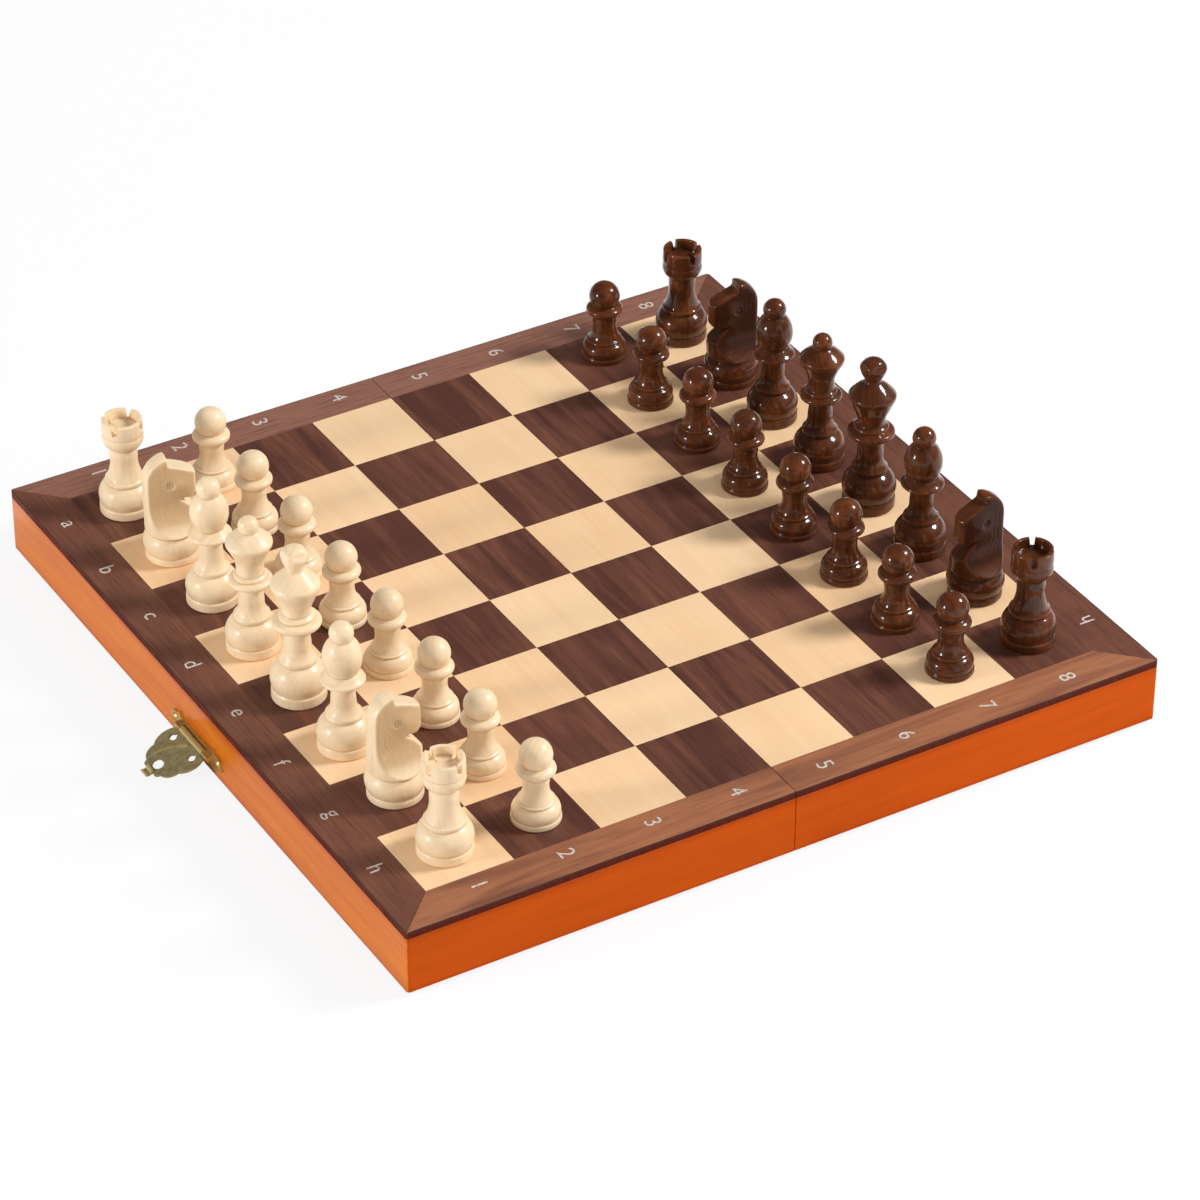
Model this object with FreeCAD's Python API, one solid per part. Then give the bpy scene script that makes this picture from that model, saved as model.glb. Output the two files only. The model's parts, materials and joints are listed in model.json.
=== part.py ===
import FreeCAD
import Part
import math
import os

# A folding chess board that closes into a flat storage box, with its thirty-two turned and carved men.
# Millimetres. The origin is the middle of the seam, in the plane of the rims that the open board stands on.
# +X runs from the white side to the black side, +Y from the h file to the a file, and +Z is up.

# Board: two open trays, face down
file_letters = "abcdefgh"
rank_count = 8
square = 32.3
border = 15.8
seam_gap = 0.3
closed_gap = 0.4
panel_thickness = 2.1
veneer_thickness = 0.6
wall_height = 21.5
wall_thickness = 8.0
corner_round = 1.2
cut_overrun = 5.0
half_round_share = 0.5

# Butt hinges under the seam, let into the rims of the inner walls
hinge_length = 25.0
hinge_inset = 60.0
hinge_leaf_width = 7.0
hinge_leaf_thickness = 0.7
hinge_pin_radius = 0.7
hinge_knuckle_count = 5
hinge_knuckle_gap = 0.15
hinge_swing_clearance = 0.2
pin_clearance = 0.03
hinge_screw_length = 9.0
hinge_screw_head_radius = 1.7
hinge_screw_shank_radius = 0.9
hinge_screw_across_share = 0.62
hinge_screw_along_shares = (-0.3, 0.3)

# Screws
screw_tip_share = 0.25
screw_slot_width = 0.5
screw_slot_depth = 0.35

# Hasp on the white half: a plate with scroll ends, and a pierced leaf that swings on a pin
hasp_offset = 0.3
hasp_plate_length = 37.0
hasp_plate_height = 5.6
hasp_plate_thickness = 0.8
hasp_plate_centre_height = 6.8
hasp_lobe_radius = 2.8
hasp_curl_radius = 1.2
hasp_curl_place_share = 0.68
hasp_pivot_height = 7.0
hasp_pin_radius = 0.6
hasp_barrel_wall = 0.6
hasp_knuckle_half_length = 8.0
hasp_end_knuckle_length = 3.4
hasp_knuckle_gap = 0.2
hasp_swing_clearance = 0.3
hasp_leaf_length = 18.4
hasp_leaf_half_width = 11.6
hasp_leaf_thickness = 0.7
hasp_leaf_droop = 20.0
hasp_leaf_shares = [
    (0.3, 1.0, 0.1),
    (0.59, 0.78, 0.11),
    (0.87, 0.42, 0.19),
    (0.935, 0.2, 0.3),
    (0.935, 0.165, 0.0),
]
hasp_leaf_root_share = 0.8
hasp_tear_radius = 1.6
hasp_tear_point_share = 1.1
hasp_tear_out_share = 0.21
hasp_tear_side_share = 0.59
hasp_hole_out = 14.0
hasp_hole_length = 4.8
hasp_hole_width = 3.8
hasp_vein_height = 0.3
hasp_vein_width = 0.9
hasp_vein_shares = [(0.13, -0.06), (0.42, 0.285), (0.68, 0.43)]
hasp_curl_inner_radius = 1.1
hasp_curl_sweep = 150.0
hasp_screw_length = 6.0
hasp_screw_head_radius = 1.6
hasp_screw_head_height = 0.7
hasp_screw_shank_radius = 0.8

# Catch on the black half: a plate with a stud that the leaf's hole drops over
catch_plate_length = 15.0
catch_plate_height = 6.4
catch_plate_thickness = 0.8
catch_screw_spacing = 9.6
catch_stud_radius = 1.4
catch_stud_reach = 2.4

# Men: radius of the foot, height of the turned base and height over all
pawn_radius = 8.5
pawn_base = 8.2
pawn_height = 31.1
rook_radius = 9.4
rook_base = 13.9
rook_height = 37.6
knight_radius = 9.6
knight_base = 10.4
knight_height = 41.2
bishop_radius = 9.3
bishop_base = 11.4
bishop_height = 49.8
queen_radius = 9.4
queen_base = 13.0
queen_height = 52.9
king_radius = 9.5
king_base = 14.2
king_height = 60.4
rook_slot_width = 2.0
rook_slot_depth = 3.6
rook_slot_count = 4
stand_clearance = 0.02

# Turned outlines: each station is a radius share of the foot's radius, a height share of the base or of what
# stands above it, and the bow of the stretch that ends there, as a share of its chord, outwards if positive
# (a bowed stretch that ends on the axis is part of a ball)
foot_shares = [
    (0.93, 0.0, 0.0),
    (1.0, 0.05, 0.2),
    (0.99, 0.2, 0.0),
    (0.945, 0.255, 0.2),
    (0.93, 0.275, 0.0),
]
bulge_bow_share = 0.2
ring_shares = [(0.97, 0.86, bulge_bow_share), (1.03, 0.89, 0.0), (1.03, 0.96, 0.0), (0.93, 1.0, 0.0)]
pawn_ring_share = 0.74
pawn_shares = [
    (0.53, 0.3, -0.1),
    (0.52, 0.375, 0.0),
    (0.73, 0.44, -0.12),
    (0.73, 0.54, 0.22),
    (0.52, 0.582, 0.05),
    (0.0, 1.0, half_round_share),
]
rook_ring_share = 0.73
rook_well_radius_share = 0.56
rook_well_floor_share = 0.84
rook_shares = [
    (0.52, 0.38, -0.07),
    (0.5, 0.52, 0.0),
    (0.76, 0.725, 0.17),
    (0.76, 0.745, 0.0),
    (0.735, 0.755, 0.0),
    (0.755, 0.77, 0.0),
    (0.745, 0.97, 0.02),
    (0.715, 1.0, 0.2),
    (0.6, 1.0, 0.0),
    (rook_well_radius_share, 0.86, 0.0),
    (0.0, rook_well_floor_share, 0.0),
]
bishop_ring_share = 0.66
bishop_shares = [
    (0.5, 0.16, -0.09),
    (0.465, 0.325, 0.0),
    (0.755, 0.365, -0.1),
    (0.755, 0.42, 0.25),
    (0.63, 0.435, 0.0),
    (0.63, 0.465, 0.3),
    (0.53, 0.475, 0.0),
    (0.35, 0.812, 0.175),
    (0.0, 1.0, half_round_share),
]
queen_ring_share = 0.66
queen_shares = [
    (0.5, 0.15, -0.09),
    (0.43, 0.31, 0.0),
    (0.72, 0.345, -0.1),
    (0.72, 0.4, 0.3),
    (0.58, 0.415, 0.0),
    (0.56, 0.44, 0.3),
    (0.48, 0.455, 0.0),
    (0.5, 0.57, -0.05),
    (0.84, 0.7, -0.1),
    (0.83, 0.755, 0.25),
    (0.38, 0.843, 0.08),
    (0.35, 0.858, 0.0),
    (0.0, 1.0, half_round_share),
]
king_ring_share = 0.66
king_cross_low_share = 0.82
king_shares = [
    (0.54, 0.13, -0.09),
    (0.49, 0.29, 0.0),
    (0.8, 0.325, -0.1),
    (0.8, 0.375, 0.3),
    (0.62, 0.39, 0.0),
    (0.6, 0.415, 0.3),
    (0.5, 0.43, 0.0),
    (0.52, 0.51, -0.05),
    (0.87, 0.63, -0.1),
    (0.86, 0.675, 0.25),
    (0.4, 0.765, 0.08),
    (0.34, 0.79, 0.0),
    (0.4, king_cross_low_share, -0.1),
    (0.5, 0.91, 0.12),
    (0.36, 0.985, 0.16),
    (0.0, 1.0, half_round_share),
]
king_cross_notch_share = 0.17
king_cross_side_share = 0.52
king_cross_height_shares = (0.865, 0.965)
king_cross_flat_share = 0.32

# Knight: a turned blank with a round top, cut to a side outline and hollowed on both flanks
# (outlines: radius share from the axis, height share above the base, and bow of the stretch that ends there)
knight_neck_shares = [(0.87, 1.0, bulge_bow_share), (0.84, 1.04, 0.0), (0.97, 1.1, 0.1)]
knight_brow_shares = [
    (-0.1, 1.1, 0.0),
    (-0.1, 0.89, 0.0),
    (1.1, 0.72, 0.04),
    (1.1, 1.1, 0.0),
]
knight_throat_shares = [
    (1.1, 0.185, 0.04),
    (1.1, 0.54, 0.0),
    (0.72, 0.43, 0.08),
    (0.2, 0.45, 0.02),
]
knight_flank_half_width = 3.4
knight_flank_round = 6.2
knight_eye_shares = (-0.06, 0.64)
knight_eye_radius = 1.3
knight_eye_depth = 0.5

# Places of the men, set down by hand: shares of a square from its middle, and turns in degrees
place_shares = {
    "white_rook_a": (-0.04, 0.03),
    "white_bishop_c": (-0.02, 0.01),
    "white_queen": (-0.05, 0.03),
    "white_king": (-0.04, 0.02),
    "white_bishop_f": (-0.05, 0.01),
    "white_knight_g": (0.01, 0.05),
    "white_rook_h": (-0.02, -0.03),
    "white_pawn_g": (-0.03, -0.01),
    "white_pawn_h": (0.03, -0.02),
    "black_rook_a": (0.01, -0.01),
    "black_knight_b": (0.03, -0.06),
    "black_bishop_c": (-0.01, 0.01),
    "black_queen": (-0.025, 0.015),
    "black_king": (-0.025, 0.015),
    "black_bishop_f": (-0.02, 0.015),
    "black_knight_g": (0.02, 0.015),
    "black_rook_h": (0.02, 0.02),
    "black_pawn_a": (0.035, 0.08),
    "black_pawn_h": (0.01, -0.01),
}
turns = {
    "white_rook_a": 42.0,
    "white_rook_h": 18.0,
    "white_knight_b": -10.0,
    "white_knight_g": 2.0,
    "black_knight_b": -6.0,
    "black_knight_g": 4.0,
    "black_rook_h": 59.0,
}

# Worked-out sizes
half_width = border + square * len(file_letters) / 2
half_depth = border + square * rank_count / 2
inner_x = seam_gap / 2
outer_x = inner_x + half_depth
panel_top = wall_height + panel_thickness
board_top = panel_top + veneer_thickness
hinge_axis_z = -closed_gap / 2
hinge_knuckle_radius = hinge_pin_radius + hinge_leaf_thickness
hinge_knuckle_pitch = hinge_length / hinge_knuckle_count
hasp_barrel_radius = hasp_pin_radius + hasp_barrel_wall
hasp_face_x = -outer_x - hasp_plate_thickness
hasp_pivot_x = hasp_face_x - hasp_barrel_radius
catch_height = hasp_hole_out - hasp_pivot_height - closed_gap

X = FreeCAD.Vector(1, 0, 0)
Y = FreeCAD.Vector(0, 1, 0)
Z = FreeCAD.Vector(0, 0, 1)
origin = FreeCAD.Vector(0, 0, 0)


def vector(x, y, z):
    return FreeCAD.Vector(x, y, z)


def stretch(start, end, bow, normal):
    """Edge from start to end: straight, or an arc that stands off its chord by bow times its length."""
    if bow == 0:
        return Part.LineSegment(start, end).toShape()
    chord = end - start
    middle = start + chord * 0.5 + chord.cross(normal) * bow
    return Part.Arc(start, middle, end).toShape()


def outline(points, bows, normal):
    """Closed face through the points: bows[i] belongs to the stretch that ends at points[i]."""
    edges = []
    for i, point in enumerate(points):
        edges.append(stretch(points[i - 1], point, bows[i], normal))
    return Part.Face(Part.Wire(edges))


def prism(corners, bottom, height):
    """Upright prism on a straight-sided plan."""
    points = [vector(x, y, bottom) for x, y in corners]
    return outline(points, [0] * len(points), Z).extrude(Z * height)


def turned(stations):
    """Solid of revolution about Z through stations of radius, height and bow, closed along the axis."""
    points = [origin] + [vector(r, 0, z) for r, z, bow in stations]
    edges = [Part.LineSegment(points[-1], origin).toShape()]
    for i, (radius, height, bow) in enumerate(stations):
        if radius == 0 and bow != 0:
            edges.append(cap(points[i], height))
        else:
            edges.append(stretch(points[i], points[i + 1], bow, -Y))
    return Part.Face(Part.Wire(edges)).revolve(origin, Z, 360)


def cap(start, top):
    """Arc from a station to the axis, with its centre on the axis, so that it turns into part of a ball."""
    centre = (top**2 - start.z**2 - start.x**2) / (2 * (top - start.z))
    radius = top - centre
    half_turn = math.atan2(start.x, start.z - centre) / 2
    middle = vector(radius * math.sin(half_turn), 0, centre + radius * math.cos(half_turn))
    return Part.Arc(start, middle, vector(0, 0, top)).toShape()


def on_side(shape, side):
    """The shape as built for the black half, or mirrored to the white half."""
    return shape if side > 0 else shape.mirror(origin, X)


def group(solids):
    return solids[0] if len(solids) == 1 else Part.makeCompound(solids)


# Board halves
def half_block(bottom, height):
    """Plan of the black half, with its two outer corners rounded."""
    block = Part.makeBox(half_depth, 2 * half_width, height, vector(inner_x, -half_width, bottom))
    corners = [e for e in block.Edges if e.BoundBox.XMin > half_depth / 2 and e.BoundBox.ZLength > height / 2]
    return block.makeFillet(corner_round, corners)


def mitred_strip(width, bottom, height, place, seam_mitre):
    """One strip of the half's frame, cut to 45 degrees where it meets the next strip."""
    inside_y = half_width - width
    inside_x = outer_x - width
    seam_x = inner_x + seam_mitre
    plans = {
        "outer": [(outer_x, -half_width), (outer_x, half_width), (inside_x, inside_y), (inside_x, -inside_y)],
        "inner": [(inner_x, half_width), (inner_x, -half_width), (seam_x, -inside_y), (seam_x, inside_y)],
        "left": [(outer_x, half_width), (inner_x, half_width), (seam_x, inside_y), (inside_x, inside_y)],
        "right": [(inner_x, -half_width), (outer_x, -half_width), (inside_x, -inside_y), (seam_x, -inside_y)],
    }
    return prism(plans[place], bottom, height).common(half_block(bottom, height)).Solids[0]


def squares(side, dark):
    """The half's light or dark veneer squares; the a file's first square is dark."""
    found = []
    first_rank = 0 if side < 0 else rank_count // 2
    for rank in range(first_rank, first_rank + rank_count // 2):
        for file in range(len(file_letters)):
            if ((rank + file) % 2 == 0) == dark:
                x, y = square_middle(file, rank)
                corner = vector(x - square / 2, y - square / 2, panel_top)
                found.append(Part.makeBox(square, square, veneer_thickness, corner))
    return group(found)


def square_middle(file, rank):
    """Middle of a square; ranks run away from the seam on both halves, which the seam's gap parts."""
    side = -1 if rank < rank_count // 2 else 1
    x = (rank + 0.5 - rank_count / 2) * square + side * inner_x
    y = (len(file_letters) / 2 - file - 0.5) * square
    return x, y


# Screws, standing on their heads at the origin with the shank up
def countersunk_screw(head_radius, shank_radius, head_depth, length):
    tip = length * (1 - screw_tip_share)
    head = [(head_radius, 0, 0), (shank_radius, head_depth, 0)]
    return turned(head + [(shank_radius, tip, 0), (0, length, 0)])


def round_screw(head_radius, shank_radius, head_height, length):
    tip = length * (1 - screw_tip_share)
    head_bow = head_height / (2 * head_radius)
    dome = outline([vector(-head_radius, 0, 0), vector(head_radius, 0, 0)], [0, -head_bow], Y)
    shank = turned([(shank_radius, 0, 0), (shank_radius, tip, 0), (0, length, 0)])
    return dome.common(half_plane(head_radius)).revolve(origin, Z, 360).fuse(shank).removeSplitter()


def half_plane(reach):
    corners = [vector(0, 0, -reach), vector(reach, 0, -reach), vector(reach, 0, reach), vector(0, 0, reach)]
    return outline(corners, [0] * len(corners), Y)


def slotted(screw, head_radius, head_top):
    """Drive slot across the head."""
    length = 2 * (head_radius + cut_overrun)
    corner = vector(-screw_slot_width / 2, -length / 2, head_top - cut_overrun)
    return screw.cut(Part.makeBox(screw_slot_width, length, cut_overrun + screw_slot_depth, corner))


# Hinges
def hinge_middles():
    reach = half_width - hinge_inset
    return [-reach, reach]


def knuckle_bar(radius, first, step, gap, middle):
    """Cylinders on the hinge's axis, one for each knuckle of a leaf."""
    bars = []
    for k in range(first, hinge_knuckle_count, step):
        start = middle - hinge_length / 2 + k * hinge_knuckle_pitch + gap / 2
        bars.append(Part.makeCylinder(radius, hinge_knuckle_pitch - gap, vector(0, start, hinge_axis_z), Y))
    return bars


def hinge_screw_places(side, middle):
    x = side * hinge_leaf_width * hinge_screw_across_share
    return [vector(x, middle + share * hinge_length, 0) for share in hinge_screw_along_shares]


def hinge_screw():
    return countersunk_screw(
        hinge_screw_head_radius, hinge_screw_shank_radius, hinge_leaf_thickness, hinge_screw_length
    )


def hinge_screws(side):
    screw = slotted(hinge_screw(), hinge_screw_head_radius, 0)
    places = [place for middle in hinge_middles() for place in hinge_screw_places(side, middle)]
    return group([screw.translated(place) for place in places])


def hinge_plate(side, middle):
    corner = vector(min(0, side * hinge_leaf_width), middle - hinge_length / 2, 0)
    return Part.makeBox(hinge_leaf_width, hinge_length, hinge_leaf_thickness, corner)


def hinge_leaves(side):
    """Both leaves of a half: the white half carries the end knuckles and the pin."""
    own, other = (0, 1) if side < 0 else (1, 0)
    bore = hinge_pin_radius if side < 0 else hinge_pin_radius + pin_clearance
    swing = hinge_knuckle_radius + hinge_swing_clearance
    leaves = []
    for middle in hinge_middles():
        plate = hinge_plate(side, middle).cut(knuckle_bar(swing, other, 2, -hinge_knuckle_gap, middle))
        leaf = plate.fuse(knuckle_bar(hinge_knuckle_radius, own, 2, hinge_knuckle_gap, middle))
        leaf = leaf.cut(hinge_pin(middle, bore, cut_overrun))
        leaf = leaf.cut([hinge_screw().translated(place) for place in hinge_screw_places(side, middle)])
        leaves += leaf.removeSplitter().Solids
    return group(leaves)


def hinge_pin(middle, radius, overrun):
    start = vector(0, middle - hinge_length / 2 - overrun, hinge_axis_z)
    return Part.makeCylinder(radius, hinge_length + 2 * overrun, start, Y)


def hinge_pins():
    return group([hinge_pin(middle, hinge_pin_radius, -hinge_knuckle_gap / 2) for middle in hinge_middles()])


def inner_wall(side):
    """Wall at the seam, let in for the hinge leaves, relieved round the knuckles and drilled."""
    wall = on_side(mitred_strip(wall_thickness, 0, wall_height, "inner", wall_thickness), side)
    swing = hinge_knuckle_radius + hinge_swing_clearance
    for middle in hinge_middles():
        start = vector(0, middle - hinge_length / 2 - hinge_knuckle_gap, hinge_axis_z)
        relief = Part.makeCylinder(swing, hinge_length + 2 * hinge_knuckle_gap, start, Y)
        screws = [hinge_screw().translated(place) for place in hinge_screw_places(side, middle)]
        wall = wall.cut([hinge_plate(side, middle), relief] + screws)
    return wall.Solids[0]


# Hasp, on the outer wall of the white half; catch, on the outer wall of the black half
def wall_screw():
    return round_screw(
        hasp_screw_head_radius, hasp_screw_shank_radius, hasp_screw_head_height, hasp_screw_length
    )


def wall_screw_at(y, z, side, seat):
    """Screw with the underside of its head on a plate of the given thickness, driven towards the seam."""
    screw = slotted(wall_screw(), hasp_screw_head_radius, -hasp_screw_head_height)
    turned_in = screw.rotated(origin, Y, -side * 90)
    return turned_in.translated(vector(side * (outer_x + seat), y, z))


def shank_hole(y, z, side):
    reach = hasp_screw_length + cut_overrun
    return Part.makeCylinder(hasp_screw_shank_radius, 2 * reach, vector(side * outer_x - reach, y, z), X)


def hasp_screw_ys():
    return [side * (hasp_plate_length / 2 - hasp_lobe_radius) for side in (-1, 1)]


def wall_disc(radius, y, z, thickness, side):
    return Part.makeCylinder(radius, thickness, vector(side * outer_x, y, z), X * side)


def hasp_plate():
    lobe_y = hasp_plate_length / 2 - hasp_lobe_radius
    z = hasp_plate_centre_height
    low = z - hasp_plate_height / 2
    corner = vector(hasp_face_x, -lobe_y, low)
    plate = Part.makeBox(hasp_plate_thickness, 2 * lobe_y, hasp_plate_height, corner)
    discs = []
    for side in (-1, 1):
        discs.append(wall_disc(hasp_lobe_radius, side * lobe_y, z, hasp_plate_thickness, -1))
        for rise in (-1, 1):
            curl_y = side * hasp_plate_length / 2 * hasp_curl_place_share
            curl_z = z + rise * hasp_plate_height / 2
            discs.append(wall_disc(hasp_curl_radius, curl_y, curl_z, hasp_plate_thickness, -1))
    plate = plate.fuse(discs + hasp_plate_knuckles()).removeSplitter()
    holes = [shank_hole(y, z, -1) for y in hasp_screw_ys()]
    return plate.cut(holes + [hasp_pin(hasp_pin_radius, cut_overrun)]).Solids[0]


def hasp_end_knuckle_start():
    return hasp_knuckle_half_length + hasp_knuckle_gap


def hasp_plate_knuckles():
    """Two end knuckles, each with a web back to the plate."""
    found = []
    for side in (-1, 1):
        start = hasp_end_knuckle_start() if side > 0 else -hasp_end_knuckle_start() - hasp_end_knuckle_length
        pivot = vector(hasp_pivot_x, start, hasp_pivot_height)
        found.append(Part.makeCylinder(hasp_barrel_radius, hasp_end_knuckle_length, pivot, Y))
        web = vector(hasp_pivot_x, start, hasp_pivot_height - hasp_barrel_radius)
        found.append(Part.makeBox(hasp_barrel_radius, hasp_end_knuckle_length, 2 * hasp_barrel_radius, web))
    return found


def hasp_pin(radius, overrun):
    half = hasp_end_knuckle_start() + hasp_end_knuckle_length + overrun
    return Part.makeCylinder(radius, 2 * half, vector(hasp_pivot_x, -half, hasp_pivot_height), Y)


def leaf_outline():
    """Lobed plan of the leaf: out from the pivot along -X, and to both sides of its middle along Y."""
    half = []
    for out_share, side_share, bow in hasp_leaf_shares:
        half.append((out_share * hasp_leaf_length, side_share * hasp_leaf_half_width, bow))
    root = hasp_leaf_root_share * hasp_leaf_half_width
    points = [vector(0, root, 0)] + [vector(-out, y, 0) for out, y, bow in half]
    bows = [0] + [bow for out, y, bow in half]
    points += [vector(-out, -y, 0) for out, y, bow in reversed(half)] + [vector(0, -root, 0)]
    bows += [0] + [bow for out, y, bow in reversed(half)]
    return outline(points, bows, Z)


def tear_hole(side):
    """Teardrop hole with its point towards the pivot."""
    out = hasp_tear_out_share * hasp_leaf_length
    y = side * hasp_tear_side_share * hasp_leaf_half_width
    point = vector(-out + hasp_tear_radius * hasp_tear_point_share, y, 0)
    left = vector(-out, y + hasp_tear_radius, 0)
    right = vector(-out, y - hasp_tear_radius, 0)
    return outline([point, left, right], [0, 0, half_round_share], Z)


def oval_hole():
    """Hole for the catch's stud, longer across the leaf than along it."""
    radius = hasp_hole_width / 2
    half = hasp_hole_length / 2 - radius
    corner = vector(-hasp_hole_out - radius, -half, 0)
    middle = Part.makeBox(hasp_hole_width, 2 * half, hasp_leaf_thickness, corner)
    ends = []
    for side in (-1, 1):
        ends.append(Part.makeCylinder(radius, hasp_leaf_thickness, vector(-hasp_hole_out, side * half, 0), Z))
    return middle.fuse(ends)


def leaf_vein():
    """Raised vein: a band of even width along an arc."""
    middle = []
    for out_share, side_share in hasp_vein_shares:
        middle.append(vector(-out_share * hasp_leaf_length, side_share * hasp_leaf_half_width, 0))
    path = Part.Wire(Part.Arc(*middle).toShape())
    band = path.makeOffset2D(hasp_vein_width / 2, 0, True, False, True)
    return Part.Face(band).extrude(Z * (hasp_leaf_thickness + hasp_vein_height))


def leaf_tongue():
    """Curled tongue at the leaf's tip, a finger lift."""
    out_share, side_share, bow = hasp_leaf_shares[-1]
    half = side_share * hasp_leaf_half_width
    start = -out_share * hasp_leaf_length
    end = -hasp_leaf_length
    inner = hasp_curl_inner_radius
    outer = inner + hasp_leaf_thickness
    corner = vector(end, -half, 0)
    flat = Part.makeBox(start - end, 2 * half, hasp_leaf_thickness, corner)
    centre = vector(end, -half, outer)
    ring = Part.makeCylinder(outer, 2 * half, centre, Y, hasp_curl_sweep)
    ring = ring.cut(Part.makeCylinder(inner, 2 * half, centre, Y))
    return [flat, ring.rotated(centre, Y, 90)]


def hasp_leaf():
    """Pierced leaf with its knuckle, built level and lowered until its tip nearly meets the table."""
    sheet = leaf_outline().extrude(Z * hasp_leaf_thickness)
    holes = [tear_hole(side).extrude(Z * hasp_leaf_thickness) for side in (-1, 1)] + [oval_hole()]
    sheet = sheet.cut(holes).fuse([leaf_vein()] + leaf_tongue())
    sheet = sheet.translated(Z * (-hasp_leaf_thickness / 2))
    swing = hasp_barrel_radius + hasp_swing_clearance
    half = hasp_knuckle_half_length
    reach = hasp_leaf_half_width + cut_overrun
    sheet = sheet.cut(Part.makeCylinder(swing, 2 * reach, vector(0, -reach, 0), Y))
    neck = Part.makeBox(swing, 2 * half, hasp_leaf_thickness, vector(-swing, -half, -hasp_leaf_thickness / 2))
    barrel = Part.makeCylinder(hasp_barrel_radius, 2 * half, vector(0, -half, 0), Y)
    leaf = sheet.fuse([neck, barrel]).removeSplitter()
    leaf = leaf.cut(Part.makeCylinder(hasp_pin_radius + pin_clearance, 2 * reach, vector(0, -reach, 0), Y))
    leaf = leaf.rotated(origin, Y, -hasp_leaf_droop)
    return leaf.translated(vector(hasp_pivot_x, 0, hasp_pivot_height)).Solids[0]


def catch():
    """Plate with rounded ends and a round-nosed stud."""
    radius = catch_plate_height / 2
    straight = catch_plate_length - catch_plate_height
    corner = vector(outer_x, -straight / 2, catch_height - radius)
    plate = Part.makeBox(catch_plate_thickness, straight, catch_plate_height, corner)
    ends = []
    for y in (-straight / 2, straight / 2):
        ends.append(wall_disc(radius, y, catch_height, catch_plate_thickness, 1))
    foot = vector(outer_x, 0, catch_height)
    stud = Part.makeCylinder(catch_stud_radius, catch_plate_thickness + catch_stud_reach, foot, X)
    nose = Part.makeSphere(catch_stud_radius, foot + X * (catch_plate_thickness + catch_stud_reach))
    plate = plate.fuse(ends + [stud, nose]).removeSplitter()
    return plate.cut([shank_hole(y, catch_height, 1) for y in catch_screw_ys()]).Solids[0]


def catch_screw_ys():
    return [-catch_screw_spacing / 2, catch_screw_spacing / 2]


def hasp_screws(seat):
    z = hasp_plate_centre_height
    return group([wall_screw_at(y, z, -1, seat) for y in hasp_screw_ys()]).translated(Y * hasp_offset)


def catch_screws(seat):
    z = catch_height
    return group([wall_screw_at(y, z, 1, seat) for y in catch_screw_ys()]).translated(Y * hasp_offset)


def outer_wall(side):
    """Wall opposite the seam, drilled for the hasp's or the catch's screws where they pass its plate."""
    wall = on_side(mitred_strip(wall_thickness, 0, wall_height, "outer", 0), side)
    screws = hasp_screws(hasp_plate_thickness) if side < 0 else catch_screws(catch_plate_thickness)
    return wall.cut(screws).Solids[0]


# Men
def stations(radius, base, height, ring_share, upper_shares):
    """Foot, bulge and step ring of the base, then the man's own stations up to its top."""
    found = [(r * radius, z * base, bow) for r, z, bow in foot_shares]
    found += [(r * ring_share * radius, z * base, bow) for r, z, bow in ring_shares]
    found += [(r * radius, base + z * (height - base), bow) for r, z, bow in upper_shares]
    return found


def pawn():
    return turned(stations(pawn_radius, pawn_base, pawn_height, pawn_ring_share, pawn_shares))


def rook():
    """Drum head with a hollow top and battlement slots."""
    drum = turned(stations(rook_radius, rook_base, rook_height, rook_ring_share, rook_shares))
    slot = Part.makeBox(
        rook_radius,
        rook_slot_width,
        rook_slot_depth + cut_overrun,
        vector(0, -rook_slot_width / 2, rook_height - rook_slot_depth),
    )
    floor = rook_base + rook_well_floor_share * (rook_height - rook_base)
    hub = Part.makeCylinder(rook_well_radius_share * rook_radius, floor, origin, Z)
    slots = [slot.rotated(origin, Z, 360 / rook_slot_count * k) for k in range(rook_slot_count)]
    return drum.cut([slot.cut(hub) for slot in slots]).Solids[0]


def bishop():
    return turned(stations(bishop_radius, bishop_base, bishop_height, bishop_ring_share, bishop_shares))


def queen():
    return turned(stations(queen_radius, queen_base, queen_height, queen_ring_share, queen_shares))


def king():
    """Crown with a knob that is notched and flattened into a rough cross, facing along X."""
    man = turned(stations(king_radius, king_base, king_height, king_ring_share, king_shares))
    stand = king_height - king_base
    cuts = []
    for side in (-1, 1):
        for share in king_cross_height_shares:
            y = side * king_cross_side_share * king_radius
            place = vector(-king_radius, y, king_base + share * stand)
            cuts.append(Part.makeCylinder(king_cross_notch_share * king_radius, 2 * king_radius, place, X))
        flat = king_cross_flat_share * king_radius
        low = king_base + king_cross_low_share * stand
        corner = vector(flat if side > 0 else -flat - king_radius, -king_radius, low)
        cuts.append(Part.makeBox(king_radius, 2 * king_radius, stand, corner))
    return man.cut(cuts).Solids[0]


def knight_blank():
    """Turned blank: base, round neck groove, straight body and a half ball on top."""
    shares = foot_shares + knight_neck_shares
    found = [(r * knight_radius, z * knight_base, bow) for r, z, bow in shares]
    body = knight_neck_shares[-1][0] * knight_radius
    return turned(found + [(body, knight_height - body, 0), (0, knight_height, half_round_share)])


def knight():
    """Blank cut to a horse's side outline, with both flanks hollowed flat; it looks along +X."""
    cuts = [knight_cut(knight_brow_shares), knight_cut(knight_throat_shares)]
    return knight_blank().cut(cuts + knight_flanks() + knight_eyes()).Solids[0]


def knight_cut(shares):
    """What a closed side outline takes off the blank, right through from flank to flank."""
    reach = knight_radius + cut_overrun
    stand = knight_height - knight_base
    points = [vector(x * knight_radius, -reach, knight_base + z * stand) for x, z, bow in shares]
    return outline(points, [bow for x, z, bow in shares], Y).extrude(Y * 2 * reach)


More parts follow.
